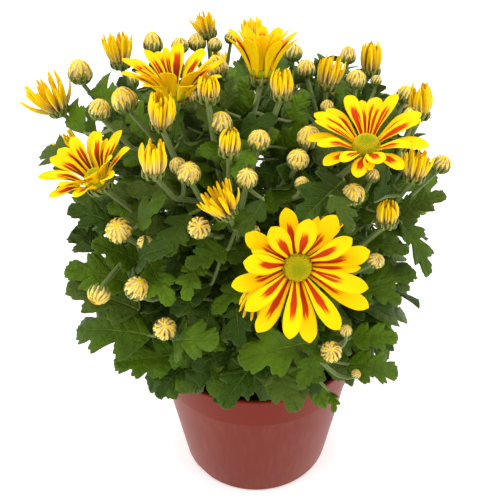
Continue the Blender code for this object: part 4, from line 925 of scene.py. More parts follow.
def pictured_leaves(stems, obstacles, draw):
    """The leaves that the picture shows, each moved in, out or aside a little until it is clear."""
    leaves = []
    pictured = [(LARGE_LEAF, *values) for values in PICTURED_LEAVES]
    pictured += [(SMALL_LEAF, *values) for values in PICTURED_SMALL_LEAVES]
    for lobes, column, row, tip_column, tip_row, stand, tip_stand in pictured:
        for aside, nudge in LEAF_NUDGES:
            base = seen_on_crown(column + aside, row, stand + nudge)
            tip = seen_on_crown(tip_column + aside, tip_row, tip_stand + nudge * 0.7)
            cutting = cutting_of(base)
            leaf = leaf_of(cutting, nearest_on_stems(base, stems, cutting), base, tip, lobes, draw)
            if obstacles.admit(leaf):
                leaves.append(leaf)
                break
    return leaves


def skirt_leaves(stems, obstacles, draw):
    """The lowest leaves, which lie out over the pot's rim all round."""
    leaves = []
    sector = 360.0 / CUTTINGS
    for i in range(CUTTINGS * SKIRT_PER_CUTTING):
        cutting = i // SKIRT_PER_CUTTING
        share = (i % SKIRT_PER_CUTTING + 0.5) / SKIRT_PER_CUTTING
        degrees = FIRST_CUTTING_ANGLE + sector * (cutting + share - 0.5)
        for trial in range(SKIRT_TRIALS):
            turn = degrees + draw.uniform(-6.0, 6.0)
            low = SKIRT_LOW + SKIRT_EVERY_SECOND * (i % 2) + SKIRT_HIGHER * trial
            base = polar(SKIRT_BASE, turn, low + SKIRT_BASE_RISE)
            out = draw.uniform(*SKIRT_TIP) - SKIRT_FRONT_SHORTER * max(0.0, -math.sin(math.radians(turn)))
            tip = polar(out, turn + draw.uniform(-8.0, 8.0), low - SKIRT_TIP_FALL)
            leaf = leaf_of(cutting, nearest_on_stems(base, stems, cutting), base, tip, SMALL_LEAF, draw)
            if row_of(tip) > LOWEST_ROW or cutting_of(base) != cutting:
                continue
            if obstacles.admit(leaf):
                leaves.append(leaf)
                break
    return leaves


def crown_leaves(stems, obstacles, draw, first, last, count):
    """Leaves spread evenly over a span of the crown by the golden ratio, each with its tip inside it."""
    leaves = []
    for i in range(count):
        share = (i + 0.5) / count
        for trial in range(LEAF_TRIALS):
            turn = first + (last - first) * (i * GOLDEN_SHARE % 1.0) + draw.uniform(-LEAF_TURN, LEAF_TURN)
            leaf = crown_leaf(stems, draw, share, turn, LEAF_INWARD * trial)
            if leaf and obstacles.admit(leaf):
                leaves.append(leaf)
                break
    return leaves


def crown_leaf(stems, draw, share, turn, inward):
    """A leaf whose tip is at that share of the crown's height and that turn, or none if no stem is near."""
    height = LEAF_LOW + (LEAF_HIGH - LEAF_LOW) * share
    stand = draw.uniform(CROWN_DEEPEST, CROWN_OUTMOST) - inward
    length = (LEAF_LENGTH_LOW + (LEAF_LENGTH_HIGH - LEAF_LENGTH_LOW) * share) * draw.uniform(0.85, 1.15)
    rise = LEAF_RISE_LOW + (LEAF_RISE_HIGH - LEAF_RISE_LOW) * share + draw.uniform(-LEAF_TILT, LEAF_TILT)
    rise = math.radians(rise)
    way = polar(math.cos(rise), turn + draw.uniform(-LEAF_ASIDE, LEAF_ASIDE), math.sin(rise))
    tip = polar(crown_radius_at(height) * stand, turn, height)
    base = tip - way * length
    cutting = cutting_of(base)
    foot = nearest_on_stems(base, stems, cutting)
    if (foot - base).length > LEAF_STALK_LONGEST:
        return None
    return leaf_of(cutting, foot, base, tip, SMALL_LEAF, draw)


def plan_plant():
    """Heads, stems and leaves, by the same values and the same draws as the model's own."""
    heads = plan_heads()
    obstacles = Obstacles(heads)
    stems = plan_stems(heads, obstacles)
    draw = random.Random(SEED)
    leaves = pictured_leaves(stems, obstacles, draw)
    leaves += skirt_leaves(stems, obstacles, draw)
    for first, last, count in CROWN_SPANS:
        leaves += crown_leaves(stems, obstacles, draw, first, last, count)
    return heads, stems, leaves


def pot_radius(height):
    """Outer radius of the pot's wall below its rim band."""
    return POT_BASE_RADIUS + (POT_TOP_RADIUS - POT_BAND_STEP - POT_BASE_RADIUS) * height / POT_HEIGHT


def pot_profile():
    """From the middle of the floor up the inside, over the lip and down the outside."""
    band = POT_HEIGHT - POT_BAND_HEIGHT
    lip = POT_TOP_RADIUS + POT_LIP
    inner = [
        (0.0, POT_FLOOR),
        (POT_BASE_RADIUS - POT_WALL - 0.0012, POT_FLOOR),
        (POT_BASE_RADIUS - POT_WALL + 0.0004, POT_FLOOR + 0.0014),
        (pot_radius(band) - POT_WALL, band - 0.0006),
        (pot_radius(band) - POT_WALL + POT_BAND_STEP * 0.5, band + 0.0006),
        (POT_TOP_RADIUS - POT_WALL, POT_HEIGHT),
    ]
    outer = [
        (POT_TOP_RADIUS + POT_LIP * 0.4, POT_HEIGHT),
        (lip, POT_HEIGHT - 0.0005),
        (lip, POT_HEIGHT - 0.0018),
        (POT_TOP_RADIUS, POT_HEIGHT - 0.0022),
        (pot_radius(band) + POT_BAND_STEP, band + 0.0006),
        (pot_radius(band), band),
        (POT_BASE_RADIUS, 0.0018),
        (POT_BASE_RADIUS - 0.0018, 0.0),
        (0.0, 0.0),
    ]
    return inner + outer


def calyx(head):
    """The depth of the cup under a head, and its radius at the foot and at the brim."""
    return [length * head.stout for length in CALYX[head.kind]]


def disc_radius(head):
    """The radius of a bloom's disc, which is smaller in a bloom that is still a cup."""
    return CUP_DISC_RADIUS if head.shape > CUP_RISE else DISC_RADIUS


# Nodes


def reckoning(operation, reflected=False):
    """A way to reckon with a wire and another value, which comes first where it is reflected."""

    def method(wire, other=0.0):
        first, second = (other, wire) if reflected else (wire, other)
        return wire.nodes.node("ShaderNodeMath", {"operation": operation}, {0: first, 1: second})

    return method


class Wire:
    """A node's output that can be reckoned with like a number."""

    __add__, __radd__ = reckoning("ADD"), reckoning("ADD", reflected=True)
    __sub__, __rsub__ = reckoning("SUBTRACT"), reckoning("SUBTRACT", reflected=True)
    __mul__, __rmul__ = reckoning("MULTIPLY"), reckoning("MULTIPLY", reflected=True)
    __truediv__, __rtruediv__ = reckoning("DIVIDE"), reckoning("DIVIDE", reflected=True)
    __pow__, __rpow__ = reckoning("POWER"), reckoning("POWER", reflected=True)
    __abs__ = reckoning("ABSOLUTE")
    sine = reckoning("SINE")
    most = reckoning("MAXIMUM")

    def __init__(self, nodes, socket):
        self.nodes = nodes
        self.socket = socket

    def between(self, low, high):
        """0 where the value is at low, 1 where it is at high, and smooth between; low may be the larger."""
        ends = {"Value": self, "From Min": low, "From Max": high}
        return self.nodes.node("ShaderNodeMapRange", {"interpolation_type": "SMOOTHSTEP"}, ends)


class Nodes:
    """The nodes of one material or of one geometry tree."""

    def __init__(self, tree):
        self.tree = tree

    def node(self, kind, settings=None, sockets=None, out=0):
        """A new node with its settings, then the values or wires of its sockets. Gives one of its outputs."""
        made = self.tree.nodes.new(kind)
        for name, value in (settings or {}).items():
            setattr(made, name, value)
        for name, value in (sockets or {}).items():
            if isinstance(value, Wire):
                self.tree.links.new(value.socket, made.inputs[name])
            else:
                made.inputs[name].default_value = value
        return Wire(self, made.outputs[out])

    def parts(self, vector):
        """The three parts of a vector."""
        split = self.node("ShaderNodeSeparateXYZ", {}, {"Vector": vector})
        return [Wire(self, socket) for socket in split.socket.node.outputs]

    def joined(self, x, y, z):
        return self.node("ShaderNodeCombineXYZ", {}, {"X": x, "Y": y, "Z": z})

    def scaled(self, vector, factor):
        kind = "ShaderNodeVectorMath"
        return self.node(kind, {"operation": "SCALE"}, {"Vector": vector, "Scale": factor})


class Finish(Nodes):
    """A material under construction, with the nodes that its looks need most."""

    def __init__(self, name, roughness=0.5, **constants):
        self.material = bpy.data.materials.new(name)
        self.material.use_nodes = True
        super().__init__(self.material.node_tree)
        self.shader = self.tree.nodes["Principled BSDF"]
        self.shader.inputs["Roughness"].default_value = roughness
        for socket, value in constants.items():
            self.shader.inputs[socket.replace("_", " ")].default_value = value

    def feed(self, socket, wire):
        self.tree.links.new(wire.socket, self.shader.inputs[socket])

    def colour(self, factor, first, second):
        """The first colour where the factor is 0, the second where it is 1."""
        settings = {"data_type": "RGBA"}
        return self.node("ShaderNodeMix", settings, {0: factor, 6: first, 7: second}, out=2)

    def place(self):
        return self.node("ShaderNodeTexCoord", out="Object")

    def attribute(self, name, out="Fac"):
        return self.node("ShaderNodeAttribute", {"attribute_name": name}, out=out)

    def noise(self, scale, detail=2.0, vector=None):
        sockets = {"Scale": scale, "Detail": detail, "Vector": vector or self.place()}
        return self.node("ShaderNodeTexNoise", {}, sockets)

    def bump(self, height, distance, strength=1.0):
        sockets = {"Height": height, "Distance": distance, "Strength": strength}
        self.feed("Normal", self.node("ShaderNodeBump", {}, sockets))


# Finishes


def leaf_finish():
    """Chrysanthemum green: pale veins on a matt, slightly downy blade that is greyer beneath. Some leaves get
    a grey-green painted sheen, and the edges get a pale painted highlight.
    """
    leaf = Finish("leaf_green", 0.5, Specular_IOR_Level=0.11)
    row, share, under = leaf.parts(leaf.attribute("weave", "Vector"))
    tone = leaf.attribute("tone")
    patches = leaf.noise(70.0, 3.0)
    deep = leaf.colour(tone.between(0.0, 0.8), LEAF_DARK, LEAF_MIDDLE)
    blade = leaf.colour((patches * 1.5 + tone * 0.5 - 0.75).between(0.0, 1.0), deep, LEAF_LIGHT)
    # Painted sheen: some leaves, chosen by their tone, turn grey-green
    blade = leaf.colour((tone * 5.3).sine().between(0.75, 1.0) * 0.7, blade, LEAF_PAINTED_SHEEN)
    veins = abs(share).between(0.07, 0.02)
    for place in LEAF_VEINS:
        reach = abs(share).between(0.86, 0.50) * 0.6
        veins = veins.most(abs(row - place).between(0.011, 0.003) * reach)
    # Painted highlight: the leaf edges turn pale
    painted_edge_highlight = abs(share).between(0.90, 1.0) * 0.45
    blade = leaf.colour(veins.most(painted_edge_highlight) * 0.52, blade, LEAF_VEIN_AND_EDGE_HIGHLIGHT)
    beneath = leaf.colour(veins * 0.5, LEAF_BENEATH, LEAF_VEIN_AND_EDGE_HIGHLIGHT)
    leaf.feed("Base Color", leaf.colour(under, blade, beneath))
    leaf.feed("Roughness", under * 0.2 + patches * 0.20 + 0.36)
    fine = leaf.noise(900.0, 2.0)
    blisters = leaf.noise(330.0, 2.0).between(0.3, 0.7)
    leaf.bump(blisters * 0.5 + patches * 0.5 + fine * 0.25 - veins * 0.9, 0.0010, 0.85)
    return leaf.material


def stem_finish():
    """Pale green stems with fine ribs along them."""
    stem = Finish("stem_green", 0.5, Specular_IOR_Level=0.14)
    around = stem.attribute("around")
    patches = stem.noise(60.0, 2.0)
    ribs = (around * (2.0 * math.pi * STEM_RIBS)).sine() * 0.5 + 0.5
    shade = (ribs * 0.35 + patches * 0.65).between(0.15, 0.85)
    stem.feed("Base Color", stem.colour(shade, STEM_DARK, STEM_PALE))
    stem.bump(ribs, 0.0003, 0.6)
    return stem.material


def bract_finish():
    """Small green scales with a paler middle and a thin brown edge."""
    bract = Finish("bract_green", 0.55, Specular_IOR_Level=0.15)
    row, share, under = bract.parts(bract.attribute("weave", "Vector"))
    patches = bract.noise(220.0, 2.0)
    green = bract.colour((abs(share) + patches * 0.5).between(1.1, 0.1), BRACT_DARK, BRACT_PALE)
    edge = (abs(share) + row * 0.25 + patches * 0.2).between(1.10, 1.26)
    bract.feed("Base Color", bract.colour(edge * 0.7, green, BRACT_EDGE))
    bract.bump(patches, 0.0003, 0.4)
    return bract.material


def petal_finish():
    """Yellow ray petals whose upper side has a red flame, feathered towards the tip. Both sides turn deeper
    gold towards the base as painted shade.
    """
    petal = Finish("petal_yellow", 0.55, Specular_IOR_Level=0.06)
    row, share, under = petal.parts(petal.attribute("weave", "Vector"))
    tone, tint = petal.attribute("tone"), petal.attribute("tint")
    streaky = petal.noise(1.0, 2.0, petal.joined(row * 2.2 + tone * 37.0, share * 9.0 + tone * 53.0, 0.0))
    fibres = petal.noise(1.0, 1.0, petal.joined(row * 1.5 + tone * 19.0, share * 34.0, 0.0))
    patches = petal.noise(90.0, 2.0)
    yellow = petal.colour(patches.between(0.3, 0.7), PETAL_YELLOW, PETAL_DEEP)
    # Painted shade: deeper gold towards the base
    yellow = petal.colour(row.between(0.30, 0.0) * 0.6, yellow, PETAL_GOLD_SHADE)
    reach = row + (streaky - 0.5) * 0.26 + (fibres - 0.5) * 0.16 + (tone - 0.5) * 0.14 - tint * 0.17
    belly = row.between(0.03, 0.26) * 0.13 - row.between(0.34, 0.54) * 0.20 + tint * 0.27
    width = abs(share) + (streaky - 0.5) * 0.22 + (fibres - 0.5) * 0.12 - belly
    flame = reach.between(0.52, 0.39) * width.between(0.34, 0.18)
    gap = (abs(share) + (fibres - 0.5) * 0.10).between(0.10, 0.03) * row.between(0.15, 0.35)
    flame = flame * (1.0 - gap * 0.7 * tone.between(0.60, 0.75))
    glow = (fibres * 0.5 + streaky * 0.3 + row * 0.3).between(0.35, 0.75)
    depth = row.between(0.60, 0.20) * (tint.between(0.78, 0.86) * 0.80 + 0.12)
    red = petal.colour(depth, petal.colour(glow, FLAME_RED, FLAME_ORANGE), FLAME_MAROON)
    upper = petal.colour(flame * 0.97, yellow, red)
    # The underside also turns deeper gold towards the base, as painted shade
    lower = petal.colour(row.between(0.35, 0.0) * 0.35, PETAL_BENEATH, PETAL_GOLD_SHADE)
    petal.feed("Base Color", petal.colour(under, upper, lower))
    ridges = (share * 17.0).sine() * 0.5 + 0.5
    petal.bump(ridges * 0.6 + fibres * 0.5, 0.00022, 0.5)
    return petal.material


def floret_finish():
    """The narrow florets of an opening head or a bud: pale at their tips, rusty where they are young."""
    floret = Finish("floret_yellow", 0.55, Specular_IOR_Level=0.1)
    row, share, under = floret.parts(floret.attribute("weave", "Vector"))
    tone, tint = floret.attribute("tone"), floret.attribute("tint")
    streaky = floret.noise(1.0, 2.0, floret.joined(row * 3.0 + tone * 31.0, share * 6.0 + tone * 47.0, 0.0))
    yellow = floret.colour((streaky + tone * 0.3 - 0.15).between(0.3, 0.75), FLORET_YELLOW, FLORET_GOLD)
    tan = floret.colour((abs(share) + streaky * 0.6).between(0.9, 0.4), FLORET_TAN, FLORET_CREAM)
    tan = floret.colour((abs(share) + streaky * 0.5).between(1.0, 1.3), tan, FLORET_BROWN)
    young = (row + (streaky - 0.5) * 0.4 - tint * 0.45 + (tone - 0.5) * 0.1).between(0.55, 0.15)
    coloured = floret.colour(young, yellow, tan)
    floret.feed("Base Color", floret.colour(under * 0.4, coloured, FLORET_GOLD))
    ridges = (share * 13.0).sine() * 0.5 + 0.5
    floret.bump(ridges * 0.6 + streaky * 0.5, 0.0002, 0.5)
    return floret.material


def disc_finish():
    """The granular olive-yellow eye, with rusty specks towards its rim."""
    disc = Finish("disc_yellow", 0.6, Specular_IOR_Level=0.1)
    tone, tint = disc.attribute("tone"), disc.attribute("tint")
    specks = disc.noise(1400.0, 2.0)
    yellow = disc.colour((tint * 0.9 + tone * 0.4 + specks * 0.4).between(0.25, 1.1), DISC_OLIVE, DISC_YELLOW)
    rust = (specks * 0.7 + tint * 0.8 + tone * 0.35).between(1.18, 1.42)
    disc.feed("Base Color", disc.colour(rust, yellow, DISC_RUST))
    disc.bump(specks, 0.0003, 0.6)
    return disc.material


def core_finish():
    """The flesh that shows between florets and scales."""
    core = Finish("core_green", 0.6, Specular_IOR_Level=0.3)
    patches = core.noise(400.0, 2.0)
    core.feed("Base Color", core.colour(patches.between(0.3, 0.7), CORE_BROWN, CORE_TAN))
    core.bump(patches, 0.0003, 0.4)
    return core.material


def pot_finish():
    """Moulded red-brown plastic with a satin gloss. Pale streaks down the wall under its band, and paler
    sides to the left and right and towards the foot, are painted reflection; the band is painted darker as
    painted shade.
    """
    pot = Finish("pot_plastic", 0.34, Specular_IOR_Level=0.05)
    x, y, z = pot.parts(pot.place())
    streaks = pot.noise(1.0, 3.0, pot.joined(x * 420.0, y * 420.0, z * 7.0))
    clouds = pot.noise(24.0, 2.0)
    dust = pot.noise(1500.0, 1.0)
    # Painted sheen and reflection: paler towards the left and right sides and towards the foot
    painted_side_sheen = abs(x).between(0.010, 0.050) * 0.28 + z.between(0.030, 0.0) * 0.16
    # The pale streaks in the colour are painted reflection; the streaks also vary roughness and bumps
    shade = (streaks * 0.55 + clouds * 0.40 + painted_side_sheen - 0.12).between(0.30, 1.00)
    wall = pot.colour(shade, POT_DARK, POT_MOTTLE_AND_REFLECTION)
    # Painted shade: the rim band is painted darker than the wall
    band = z.between(POT_HEIGHT - POT_BAND_HEIGHT - 0.0004, POT_HEIGHT - POT_BAND_HEIGHT + 0.0004)
    pot.feed("Base Color", pot.colour(band * (0.85 - shade * 0.35), wall, POT_BAND_SHADED))
    pot.feed("Roughness", streaks * 0.14 + clouds * 0.10 + 0.24)
    pot.bump(dust * 0.4 + streaks * 0.6, 0.00012, 0.35)
    return pot.material


def peat_finish():
    """Dark, dull peat with a fibrous grain."""
    peat = Finish("peat", 0.95, Specular_IOR_Level=0.2)
    grain = peat.noise(900.0, 3.0)
    lumps = peat.noise(160.0, 2.0)
    shade = (grain * 0.6 + lumps * 0.4).between(0.35, 0.7)
    peat.feed("Base Color", peat.colour(shade, PEAT_DARK, PEAT_BROWN))
    peat.bump(grain, 0.0006, 0.8)
    return peat.material


def floor_finish():
    """The studio's white floor, which glows a little as paper on a light table does."""
    floor = Finish("pale_floor", 0.9, Specular_IOR_Level=0.1)
    floor.shader.inputs["Base Color"].default_value = FLOOR_WHITE
    floor.shader.inputs["Emission Color"].default_value = FLOOR_WHITE
    floor.shader.inputs["Emission Strength"].default_value = FLOOR_GLOW
    return floor.material


# Blades: leaves, petals, florets and scales


def ribbon(first, second):
    """The faces between two lines of points."""
    return np.stack([first[:-1], second[:-1], second[1:], first[1:]], axis=1)


def blade_shape(shapes, along, aside, rise, half_thickness):
    """A closed blade of length 1 along +X whose upper side faces +Z, from grids of rows and columns.

    Each point keeps its place along and across the blade and, in its weave, its row, its column and its side.
    """
    rows, columns = along.shape
    sheet = np.stack([along, aside, rise], axis=2).reshape(-1, 3)
    half = np.array([0.0, 0.0, half_thickness])
    above = np.arange(rows * columns).reshape(rows, columns)
    under = above + rows * columns
    lines = [ribbon(above[i], above[i + 1]) for i in range(rows - 1)]
    lines += [ribbon(under[i + 1], under[i]) for i in range(rows - 1)]
    lines += [ribbon(above[:, 0], under[:, 0]), ribbon(under[:, -1], above[:, -1])]
    lines += [ribbon(under[0], above[0]), ribbon(above[-1], under[-1])]
    points, faces = np.concatenate([sheet + half, sheet - half]), np.concatenate(lines)
    mesh = bpy.data.meshes.new("shape")
    mesh.from_pydata(points.tolist(), [], faces.tolist())
    row = np.repeat(np.linspace(0.0, 1.0, rows), columns)
    share = np.tile(np.linspace(-1.0, 1.0, columns), rows)
    flat = np.zeros(rows * columns)
    place = np.stack([along.ravel(), aside.ravel(), flat], axis=1)
    weave = np.stack([row, share, flat], axis=1)
    keep(mesh, "place", np.concatenate([place, place]))
    keep(mesh, "weave", np.concatenate([weave, weave + (0.0, 0.0, 1.0)]))
    shapes.objects.link(bpy.data.objects.new(f"{shapes.name}_{len(shapes.objects):02d}", mesh))


def keep(mesh, name, values):
    """Stores a number or a vector for each point of a mesh."""
    values = np.asarray(values)
    kinds = {"f": ("FLOAT", "value"), "i": ("INT", "value"), "v": ("FLOAT_VECTOR", "vector")}
    kind, field = kinds["v" if values.ndim == 2 else values.dtype.kind]
    mesh.attributes.new(name, kind, "POINT").data.foreach_set(field, values.ravel())


def widths(keys, rows):
    """A width for each row, between the keys' places and widths."""
    return np.interp(rows, [key[0] for key in keys], [key[1] for key in keys])


def leaf_shapes(name, keys, slants, rows, columns):
    """Three lobed leaves whose rows slant forwards from the midrib as their side veins do."""
    shapes = bpy.data.collections.new(name)
    for variant in range(3):
        draw = random.Random(f"{name} {variant}")
        row = np.linspace(0.0, 1.0, rows)
        share = np.linspace(-1.0, 1.0, columns)
        slant = np.radians(widths(slants, row))[:, None]
        uneven = [[(place, width * draw.uniform(0.90, 1.08)) for place, width in keys] for _ in range(2)]
        left, right = [widths(side, row) for side in uneven]
        period, phase = draw.uniform(0.100, 0.125), draw.uniform(0.0, 1.0)
        tooth = np.abs((row / period + phase) % 1.0 * 2.0 - 1.0)
        tooth = 1.0 - LEAF_TEETH * tooth**1.5 * np.interp(row, (0.0, 0.05, 0.9, 1.0), (0.0, 1.0, 1.0, 0.2))
        width = np.where(share < 0, left[:, None], right[:, None]) * tooth[:, None]
        out = np.abs(share)[None, :] * width
        swell = np.sin(np.pi * np.clip(np.abs(share), 0.0, 1.0))[None, :]
        veins = np.min([np.abs(row - place) for place in LEAF_VEINS], axis=0)
        puff = np.clip(veins / 0.06, 0.0, 1.0)[:, None]
        rise = 0.011 * swell * (0.35 + 0.65 * puff) - 0.004 * (share == 0)[None, :]
        rise = rise - 0.020 * np.abs(share)[None, :] ** 3
        along = row[:, None] + out * np.cos(slant)
        aside = np.sign(share)[None, :] * out * np.sin(slant)
        blade_shape(shapes, along, aside, rise, LEAF_HALF_THICKNESS)
    return shapes


def floret_shapes(name, keys, rows, columns, channel, notches, half_thickness):
    """Petals, florets or scales by their half width from base to tip, in one variant for each notch."""
    shapes = bpy.data.collections.new(name)
    for notch in notches:
        row = 1.0 - (1.0 - np.linspace(0.0, 1.0, rows)) ** 1.4
        share = np.linspace(-1.0, 1.0, columns)
        width = widths(keys, row)[:, None]
        tip = row[:, None] ** 6
        along = row[:, None] - tip * notch * np.cos(share * np.pi * 1.5)[None, :] ** 2
        along = along - tip * 0.075 * width / width.max() * (share**2)[None, :]
        aside = width * share[None, :]
        cup = np.interp(row, (0.0, 0.25, 0.7, 1.0), (1.6, 1.0, 0.45, 0.30))[:, None]
        rise = channel * cup * width * (share**2)[None, :]
        rise = rise + 0.012 * width * np.cos(share * np.pi * 3.0)[None, :]
        blade_shape(shapes, along, aside, rise, half_thickness)
    return shapes


class Crop:
    """Blades that grow on one piece: how each lies, its size, and how it bends."""

    def __init__(self):
        self.blades = []

    def add(self, base, way, up, length, width, variant=0, arch=0.0, fold=0.0, wave=0.0, tone=0.5, tint=0.0):
        """A blade from its base along its way, with its upper side towards up, and how it bends."""
        up = (up - way * up.dot(way)).normalized()
        turn = Matrix((way, up.cross(way), up)).transposed().to_euler()
        size = (length, length * width, length)
        self.blades.append((base, turn, size, up * length, (arch, fold * width, wave), tone, tint, variant))

    def span(self, start, middle, end, width, variant=0, tone=0.5, tint=0.0, fold=0.0):
        """A blade that runs from start over middle to end, with its upper side where middle is."""
        chord = end - start
        rise = middle - (start + end) / 2
        arch = rise.length / chord.length
        self.add(start, chord.normalized(), rise, chord.length, width, variant, arch, fold, 0.0, tone, tint)

    def grown(self, shapes, material):
        """The blades as one mesh, each a shape of this collection."""
        mesh = bpy.data.meshes.new("blades")
        columns = [np.array(column) for column in zip(*self.blades)]
        mesh.from_pydata(columns[0].tolist(), [], [])
        for label, values in zip(("turn", "size", "lift", "bend", "tone", "tint", "variant"), columns[1:]):
            keep(mesh, label, values)
        return grown(blade_tree(), mesh, Shapes=shapes, Material=material)


def geometry_tree(name, **inputs):
    """An empty geometry tree whose inputs are a mesh and then these names and kinds, and what they hold."""
    tree = bpy.data.node_groups.new(name, "GeometryNodeTree")
    tree.interface.new_socket("Mesh", in_out="INPUT", socket_type="NodeSocketGeometry")
    tree.interface.new_socket("Mesh", in_out="OUTPUT", socket_type="NodeSocketGeometry")
    for label, kind in inputs.items():
        tree.interface.new_socket(label, in_out="INPUT", socket_type="NodeSocket" + kind)
    nodes = Nodes(tree)
    first = nodes.node("NodeGroupInput")
    given = {socket.name: Wire(nodes, socket) for socket in first.socket.node.outputs if socket.name}
    return nodes, given


def stored(nodes, geometry, name, value):
    """The geometry, which keeps a number under that name."""
    sockets = {"Geometry": geometry, "Name": name, "Value": value}
    return nodes.node("GeometryNodeStoreNamedAttribute", {"data_type": "FLOAT"}, sockets)


def tree_ends(nodes, geometry, material):
    """Ends a tree in plain geometry that has its material."""
    real = nodes.node("GeometryNodeRealizeInstances", {}, {"Geometry": geometry})
    smooth = nodes.node("GeometryNodeSetShadeSmooth", {}, {"Geometry": real})
    finished = nodes.node("GeometryNodeSetMaterial", {}, {"Geometry": smooth, "Material": material})
    out = nodes.tree.nodes.new("NodeGroupOutput")
    nodes.tree.links.new(finished.socket, out.inputs[0])
    return nodes.tree


def modified(mesh, kind, settings, inputs=None, all_layers=False):
    """What a modifier with these settings makes of a mesh, as a plain mesh."""
    holder = bpy.data.objects.new(mesh.name, mesh)
    bpy.context.scene.collection.objects.link(holder)
    modifier = holder.modifiers.new("modifier", kind)
    for name, value in settings.items():
        setattr(modifier, name, value)
    for identifier, value in (inputs or {}).items():
        modifier[identifier] = value
    bpy.context.view_layer.update()
    graph = bpy.context.evaluated_depsgraph_get()
    layers = {"preserve_all_data_layers": all_layers, "depsgraph": graph}
    made = bpy.data.meshes.new_from_object(holder.evaluated_get(graph), **layers)
    bpy.data.objects.remove(holder)
    return made


def grown(tree, mesh, **values):
    """What a geometry tree makes of a mesh, without the values that only the tree needs."""
    places = [item for item in tree.interface.items_tree if item.in_out == "INPUT" and item.name in values]
    inputs = {item.identifier: values[item.name] for item in places}
    made = modified(mesh, "NODES", {"node_group": tree}, inputs, all_layers=True)
    for label in SPENT_ATTRIBUTES:
        if label in made.attributes:
            made.attributes.remove(made.attributes[label])
    return made


@functools.cache
def blade_tree():
    """Puts a shape on each point as the point's values say, then bends it."""
    nodes, given = geometry_tree("blades", Shapes="Collection", Material="Material")

    def value(label, kind="FLOAT_VECTOR"):
        return nodes.node("GeometryNodeInputNamedAttribute", {"data_type": kind}, {"Name": label})

    points = nodes.node("GeometryNodeMeshToPoints", {}, {"Mesh": given["Mesh"]})
    sockets = {"Collection": given["Shapes"], "Separate Children": True, "Reset Children": True}
    shapes = nodes.node("GeometryNodeCollectionInfo", {}, sockets)
    turn = nodes.node("FunctionNodeEulerToRotation", {}, {0: value("turn")})
    sockets = {"Points": points, "Instance": shapes, "Pick Instance": True}
    sockets |= {"Instance Index": value("variant", "INT"), "Rotation": turn, "Scale": value("size")}
    blades = nodes.node("GeometryNodeInstanceOnPoints", {}, sockets)
    real = nodes.node("GeometryNodeRealizeInstances", {}, {"Geometry": blades})
    along, aside, none = nodes.parts(value("place"))
    arch, fold, wave = nodes.parts(value("bend"))
    row, share, under = nodes.parts(value("weave"))
    ripple = (along * 9.0 + value("tone", "FLOAT") * 40.0).sine() * abs(share)
    height = arch * along * (1.0 - along) * 4.0 + fold * abs(aside) + wave * ripple
    offset = nodes.scaled(value("lift"), height)
    bent = nodes.node("GeometryNodeSetPosition", {}, {"Geometry": real, "Offset": offset})
    return tree_ends(nodes, bent, given["Material"])


@functools.cache
def stem_tree():
    """Draws stems of their own radius along the edges of a mesh, with the joints rounded."""
    nodes, given = geometry_tree("stems", Sides="Int", Bend="Float", Material="Material")
    radius = nodes.node("GeometryNodeInputNamedAttribute", {"data_type": "FLOAT"}, {"Name": "radius"})
    curve = nodes.node("GeometryNodeMeshToCurve", {}, {"Mesh": given["Mesh"]})
    sockets = {"Curve": curve, "Count": STEM_BEND_STEPS, "Radius": given["Bend"], "Limit Radius": True}
    curve = nodes.node("GeometryNodeFilletCurve", {"mode": "POLY"}, sockets)
    ring = nodes.node("GeometryNodeCurvePrimitiveCircle", {}, {"Resolution": given["Sides"], "Radius": 1.0})
    ring = stored(nodes, ring, "around", nodes.node("GeometryNodeSplineParameter"))
    sockets = {"Curve": curve, "Profile Curve": ring, "Scale": radius, "Fill Caps": True}
    return tree_ends(nodes, nodes.node("GeometryNodeCurveToMesh", {}, sockets), given["Material"])


@functools.cache
def disc_tree():
    """Sets florets in a sunflower spiral on a low dome whose top is at a head's origin."""
    kinds = {"Count": "Int", "Radius": "Float", "Height": "Float", "Floret": "Float"}
    kinds |= {"Turn": "Rotation", "Place": "Vector", "Seed": "Int", "Material": "Material"}
    nodes, given = geometry_tree("disc_florets", **kinds)
    index = nodes.node("GeometryNodeInputIndex")
    share = (index + 0.5) / given["Count"]
    out = share ** 0.5
    angle = index * GOLDEN_ANGLE
    x = (angle + math.pi / 2).sine() * out * given["Radius"]
    y = angle.sine() * out * given["Radius"]
    z = (1.0 - share) ** 0.5 * given["Height"]
    place = nodes.joined(x, y, z)
    points = nodes.node("GeometryNodePoints", {}, {"Count": given["Count"], "Position": place})
    sockets = {2: 0.0, 3: 1.0, "Seed": given["Seed"]}
    tone = nodes.node("FunctionNodeRandomValue", {"data_type": "FLOAT"}, sockets, out=1)
    points = stored(nodes, stored(nodes, points, "tone", tone), "tint", share)
    ball = nodes.node("GeometryNodeMeshIcoSphere", {}, {"Radius": 1.0, "Subdivisions": 1})
    size = nodes.joined(1.0, 1.0, tone * 0.7 + 1.1)
    out_way = nodes.joined(x * 1.2, y * 1.2, given["Radius"])
    turn = nodes.node("FunctionNodeAlignRotationToVector", {"axis": "Z"}, {"Vector": out_way})
    grain = nodes.scaled(size, given["Floret"])
    sockets = {"Points": points, "Instance": ball, "Rotation": turn, "Scale": grain}
    florets = nodes.node("GeometryNodeInstanceOnPoints", {}, sockets)
    sockets = {"Geometry": florets, "Translation": given["Place"], "Rotation": given["Turn"]}
    florets = nodes.node("GeometryNodeTransform", {}, sockets)
    both = nodes.node("GeometryNodeJoinGeometry", {}, {"Geometry": florets})
    nodes.tree.links.new(given["Mesh"].socket, both.socket.node.inputs[0])
    return tree_ends(nodes, both, given["Material"])


